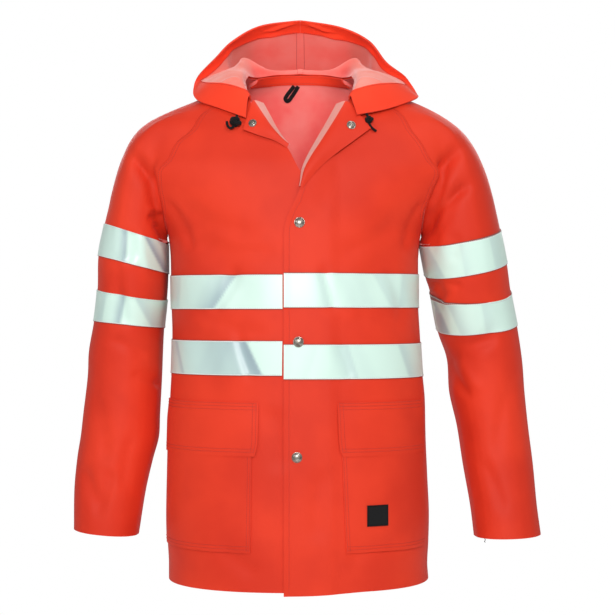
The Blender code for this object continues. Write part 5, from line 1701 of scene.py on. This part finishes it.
def add_hood():
    halves = {side: creased_hood(side) for side in HOODS}
    for side, surface in halves.items():
        along = steps(0, 1, 110)
        cloth(f"hood_{side}", surface, along, steps(0, 1, 96, 0.003), [OUTER, HOOD_LINING], "coated_cloth")
        across = steps(FACING_START, 1, 20, 0.003)
        cloth(f"hood_facing_{side}", surface, along, across, [BRIM], "coated_cloth", -WALL - SEAM, FACING)

    def felled(across, along, out=0.0):
        """The seam down the hood's middle: across is -1 on the right half and 1 on the left one."""
        share = 1 - HOOD_SEAM / HOOD_SPAN[0] * np.abs(across)
        left, right = (halves[side](share, along, out) for side in SIGN)
        meeting = sum(halves[side](np.full(len(across), 1.0), along, out) for side in SIGN) / 2
        return np.where(np.abs(across)[:, None] < 0.01, meeting, np.where(across[:, None] > 0, left, right))

    across, along = np.array([-1, -0.6, -0.2, 0, 0.2, 0.6, 1]), steps(0.02, 0.985, 96)
    out, thick = -WALL - 0.0002, 0.0005
    cloth("hood_seam", felled, across, along, [HOOD_LINING], "coated_cloth", out, thick, stands_for=False)
    rows = steps(*BACK_STATIONS[-2:], 5)
    cloth("neck_band", back_surface, steps(0, 1, 72), rows, [OUTER], "coated_cloth", -WALL - SEAM, FACING)


LAPEL_SHOWS = 0.011  # how far the knit shows beside a lapel at its top


def lapel_with_knit(side):
    """The lapel, its turned-in edge leaning into the opening so that its knit shows."""
    surface = lapel_surface(side)
    last = len(LAPELS[side]) - 1

    def leaning(station, across, out=0.0):
        shows = LAPEL_SHOWS * np.clip(1 - station / (0.92 * last), 0, 1)
        place = surface(station, across, out)
        place[..., 0] -= SIGN[side] * shows * np.clip(1 - across, 0, 1)
        return place

    return leaning


# The profiles of a snap's cap and of a ring snap: share of its radius, height.
CAP_FORM = (
    (0.0, 0.0), (1.0, 0.0), (1.0, 0.0004), (0.99, 0.0007), (0.95, 0.0009), (0.92, 0.0009), (0.89, 0.0012),
    (0.8, 0.0019), (0.66, 0.0026), (0.48, 0.0031), (0.25, 0.0034), (0.0, 0.0035),
)
RING_FORM = (
    (0.0, 0.0), (1.0, 0.0), (1.0, 0.0004), (0.97, 0.0007), (0.9, 0.0009), (0.8, 0.0008), (0.74, 0.0012),
    (0.64, 0.0014), (0.57, 0.001), (0.54, 0.0004), (0.42, 0.0004), (0.38, 0.0012), (0.3, 0.0017),
    (0.18, 0.0019), (0.0, 0.0019),
)


def snap(name, surface, at, seat, form, radius):
    """A snap that sits on a surface, seat above it."""
    normal = surface(*at, 1.0)[0] - surface(*at, 0.0)[0]
    spun(name, [(share * radius, height) for share, height in form], surface(*at, seat)[0], normal)


def add_lapels():
    for side, rows in LAPELS.items():
        surface = lapel_with_knit(side)
        stations = steps(0, len(rows) - 1, 40)
        across = np.concatenate([steps(0, 1, 6), steps(1, 3, 24)[1:]])
        faces = [OUTER, PALE_KNIT]
        cloth(f"lapel_{side}", surface, stations, across, faces, "coated_cloth", 0.0, LAPEL_PLY, inner_rows=6)
        station, place, radius = RING_SNAPS[side]
        at = np.array([station]), np.array([place])
        snap(f"ring_snap_{side}", surface, at, SEAM, RING_FORM, radius)


def add_snaps():
    front = front_surface("left")
    for name, (x, height) in SNAPS.items():
        height = np.array([height])
        at = share_at("left", np.array([x]), height), height
        seat = SEAM + (TAPE + SEAM if name == "middle" else 0)
        snap(f"snap_{name}", front, at, seat, CAP_FORM, SNAP_RADIUS)


PATCH_SIDES = (0.0944, 0.1239)
PATCH_ENDS = (-0.62, -0.5905)
PATCH_LIFT = WALL + 2 * SEAM + TAPE + POCKET_PUFF  # from the front to the patch's outer face
PATCH_ROW = 0.0012  # from the patch's edge to its stitches


def add_patch():
    front = front_surface("left")

    def surface(x, height, out=0.0):
        return front(share_at("left", x, height), height, out)

    columns, rows = steps(*PATCH_SIDES, 12, 0.0005), steps(*PATCH_ENDS, 12, 0.0005)
    cloth("pocket_patch", surface, columns, rows, [PATCH], "black_trim", PATCH_LIFT, TAPE)
    (left, right), (low, high) = PATCH_SIDES, PATCH_ENDS
    lines = []
    for x in (left + PATCH_ROW, right - PATCH_ROW):
        lines.append((surface, np.full(20, x), np.linspace(low + 0.001, high - 0.001, 20), PATCH_LIFT))
    for height in (low + PATCH_ROW, high - PATCH_ROW):
        lines.append((surface, np.linspace(left + 0.001, right - 0.001, 20), np.full(20, height), PATCH_LIFT))
    sewn("patch_stitches", lines, BLACK, "black_trim", pitch=0.0024)


def add_hanger():
    points = np.array(HANGER)

    def surface(station, across, out=0.0):
        middle = flowing(points, station)
        run = flowing(points, station + 0.01) - flowing(points, station - 0.01)
        aside = unit(np.stack([-run[..., 1], run[..., 0]], axis=-1))
        place = middle + aside * (across * HANGER_SPREAD * HANGER_WIDTH)[..., None]
        turn = math.pi - angle_at(place[..., 0], place[..., 1])
        inside = body(turn, place[..., 1])[..., 1] - HANGER_GAP
        return np.stack([place[..., 0], inside - out, place[..., 1]], axis=-1)

    columns, rows = steps(0, len(points) - 1, 64), steps(-0.5, 0.5, 4)
    cloth("hanger_loop", surface, columns, rows, [BLACK], "black_trim", 0.0, HANGER_PLY)


# ---------------------------------------------------------------- sewing
ROW_GAP = 0.0045  # between the two rows of a double seam
TAPE_ROW = 0.002  # from a tape's edge to its stitches


def add_sewing():
    red, white = [], []

    def level(rows, surface, span, count, heights, out, *inner):
        """Rows of stitches across a surface, at these heights."""
        for height in heights:
            rows.append((surface, np.linspace(*span, count), np.full(count, height), out, *inner))

    def beside(surface, share, low, high, count, offsets, out=0.0):
        """Rows of red stitches up a surface, at these distances from a share of it."""
        up = np.linspace(low, high, count)
        for offset in offsets:
            red.append((surface, inset(surface, share, up, offset), up, out))

    def tape_edges(top):
        return top - TAPE_ROW, top - TAPE_WIDTH + TAPE_ROW

    face = {side: hanging_front(side) for side in SIGN}
    over, on_tape, inside = SEAM + WALL, SEAM + TAPE, -WALL - SEAM - FACING
    beside(face["left"], 0.0, HEM + 0.002, -0.02, 240, [0.0072])
    for side in SIGN:
        seam_end = FRONT_STATIONS[-1] - 0.003
        beside(face[side], 1.0, UNDERARM + 0.004, seam_end, 120, (-0.0022, -0.0022 - ROW_GAP))
        pocket, flap = patch_surface(side, POCKET_SLANT), patch_surface(side, FLAP_SLANT)
        beside(pocket, 0.0, POCKET_BOTTOM + 0.002, FLAP_BOTTOM - 0.001, 60, (0.002, 0.0058), over)
        level(red, pocket, (0.01, 0.99), 70, (POCKET_BOTTOM + 0.005, POCKET_BOTTOM + 0.005 + ROW_GAP), over)
        beside(flap, 0.0, FLAP_BOTTOM + 0.007, FLAP_TOP - 0.002, 30, (0.0033, 0.0085), over)
        level(red, flap, (0.01, 0.99), 70, [FLAP_BOTTOM + offset for offset in (0.0065, 0.0108)], over)
        level(red, flap, (0.01, 0.99), 70, [FLAP_TOP - offset for offset in (0.0014, 0.0057, 0.0105)], over)
        start = RIGHT_TAPE_START if side == "right" else 0
        for top in TAPE_TOPS[side].values():
            level(white, face[side], (start + 0.004, 0.996), 90, tape_edges(top), on_tape)
    for top in LEFT_TAPES.values():
        level(white, back_surface, (0.004, 0.996), 140, tape_edges(top), on_tape)
    low, high = BACK_STATIONS[-2:]
    for share, way in ((0.0, 1), (1.0, -1)):
        offsets = (way * 0.0022, way * (0.0022 + ROW_GAP))
        beside(back_surface, share, UNDERARM + 0.004, high - 0.003, 120, offsets)
        beside(back_surface, share, HEM + 0.002, UNDERARM - 0.004, 200, [way * 0.0024])
    for side in SLEEVES:
        for start, stop in SLEEVE_TAPES.values():
            turns = (-math.pi + 0.01, math.pi - 0.01)
            level(white, sleeve_cloth(side), turns, 160, (start + 0.04, stop - 0.04), on_tape)
        hood, up = creased_hood(side), np.linspace(0.03, 0.97, 160)
        for offset, lift, way in ((0.0065, 0.0, 1), (0.004, -WALL - 0.0007, -1)):
            red.append((hood, np.full(160, 1 - offset / HOOD_SPAN[0]), up, lift, way))
        level(red, hood, (0.01, 0.99), 160, [FACING_START + 0.012], 0.0)
        level(red, hood, (0.01, 0.99), 160, [FACING_START + 0.012], inside, -1)
    level(red, back_surface, (0.01, 0.99), 80, (low + 0.002, high - 0.002), inside, -1)
    sewn("sewing", red, THREAD, "coated_cloth")
    sewn("tape_sewing", white, TAPE_THREAD, "reflective_tape")


THREAD_END_X = 0.273
THREAD_END_FALL = (0.0004, -0.0004, -0.006)  # from the cuff to its tip


def add_thread_end():
    """The end of a sewing thread that hangs from the left cuff."""
    cuff, turns = sleeve_cloth("left"), np.linspace(-math.pi, math.pi, 181)
    rim = cuff(turns, np.full(181, len(SLEEVES["left"]) - 1.0), -WALL / 2)
    start = rim[np.argmin(np.abs(rim[:, 0] - THREAD_END_X) + (rim[:, 1] > rim[:, 1].mean()))]

    def hanging(across, along, out=0.0):
        place = start + along[:, None] * np.array(THREAD_END_FALL)
        return place + across[:, None] * np.array([0.001, 0.0, 0.0]) + np.array([0.0, -1.0, 0.0]) * out

    line = (hanging, np.array([0.0, 1.2, -0.4, 0.6]), np.array([0.0, 0.35, 0.7, 1.0]), 0.0)
    sewn("thread_end", [line], BLACK, "black_trim", (0.0026, 0.0009, 0.0009), 0.0018)


# ---------------------------------------------------------------- sheets
# The cut of each cloth piece that shows: width, length, area (None for a
# rectangle), how it is held, what it rests on, and what is sewn on it.
CUTS = {
    "front_left": (0.275, 0.745, 0.158, "hung", ("sleeve_left", "front_right"),
                   ("snap_top", "snap_middle", "snap_bottom")),
    "front_right": (0.303, 0.745, 0.187, "hung", ("sleeve_right",), ()),
    "back": (0.56, 0.79, 0.379, "hung", ("sleeve_left", "sleeve_right"), ("sewing", "tape_sewing")),
    "sleeve_left": (0.5, 0.8, 0.263, "hung", ("front_left", "back"), ("thread_end",)),
    "sleeve_right": (0.48, 0.79, 0.25, "hung", ("front_right", "back"), ()),
    "hood_left": (0.3, 0.36, 0.0735, "folded", ("back", "neck_band"), ()),
    "hood_right": (0.3, 0.36, 0.071, "folded", ("back", "neck_band"), ()),
    "hood_seam": (0.016, 0.53, 0.0083, "folded", ("hood_left", "hood_right"), ()),
    "hood_facing_left": (0.39, 0.03, 0.0102, "laid", ("hood_left",), ()),
    "hood_facing_right": (0.38, 0.028, 0.0093, "laid", ("hood_right",), ()),
    "neck_band": (0.17, 0.018, 0.0027, "laid", ("back",), ("hanger_loop",)),
    "lapel_left": (0.155, 0.07, 0.0066, "folded", ("front_left",), ("ring_snap_left",)),
    "lapel_right": (0.094, 0.06, 0.003, "folded", ("front_right",), ("ring_snap_right",)),
    "pocket_left": (0.156, 0.18, 0.0276, "laid", ("front_left",), ()),
    "pocket_right": (0.194, 0.18, 0.0347, "laid", ("front_right",), ()),
    "flap_left": (0.16, 0.0777, 0.0122, "laid", ("pocket_left",), ()),
    "flap_right": (0.202, 0.0777, 0.0155, "laid", ("pocket_right",), ()),
    "pocket_patch": (0.0325, 0.03, None, "laid", ("pocket_left",), ("patch_stitches",)),
}
# The lengths of the upper and the lower tape on each piece.
TAPE_CUTS = {
    "front_left": (0.235, 0.243),
    "front_right": (0.25, 0.252),
    "back": (0.56, 0.567),
    "sleeve_left": (0.46, 0.48),
    "sleeve_right": (0.41, 0.38),
}
CUTS |= {
    f"tape_{place}_{under}": (length, TAPE_WIDTH, None, "laid", (under,), ())
    for under, lengths in TAPE_CUTS.items()
    for place, length in zip(("upper", "lower"), lengths)
}


def declare_cloth():
    for name, (*flat, area, held, rests, carries) in CUTS.items():
        under, sewn_on = ([PIECES[other] for other in names] for names in (rests, carries))
        tuple(flat)


add_fronts()
add_back()
add_sleeves()
add_hood()
add_lapels()
add_snaps()
add_patch()
add_hanger()
add_sewing()
add_thread_end()
declare_cloth()
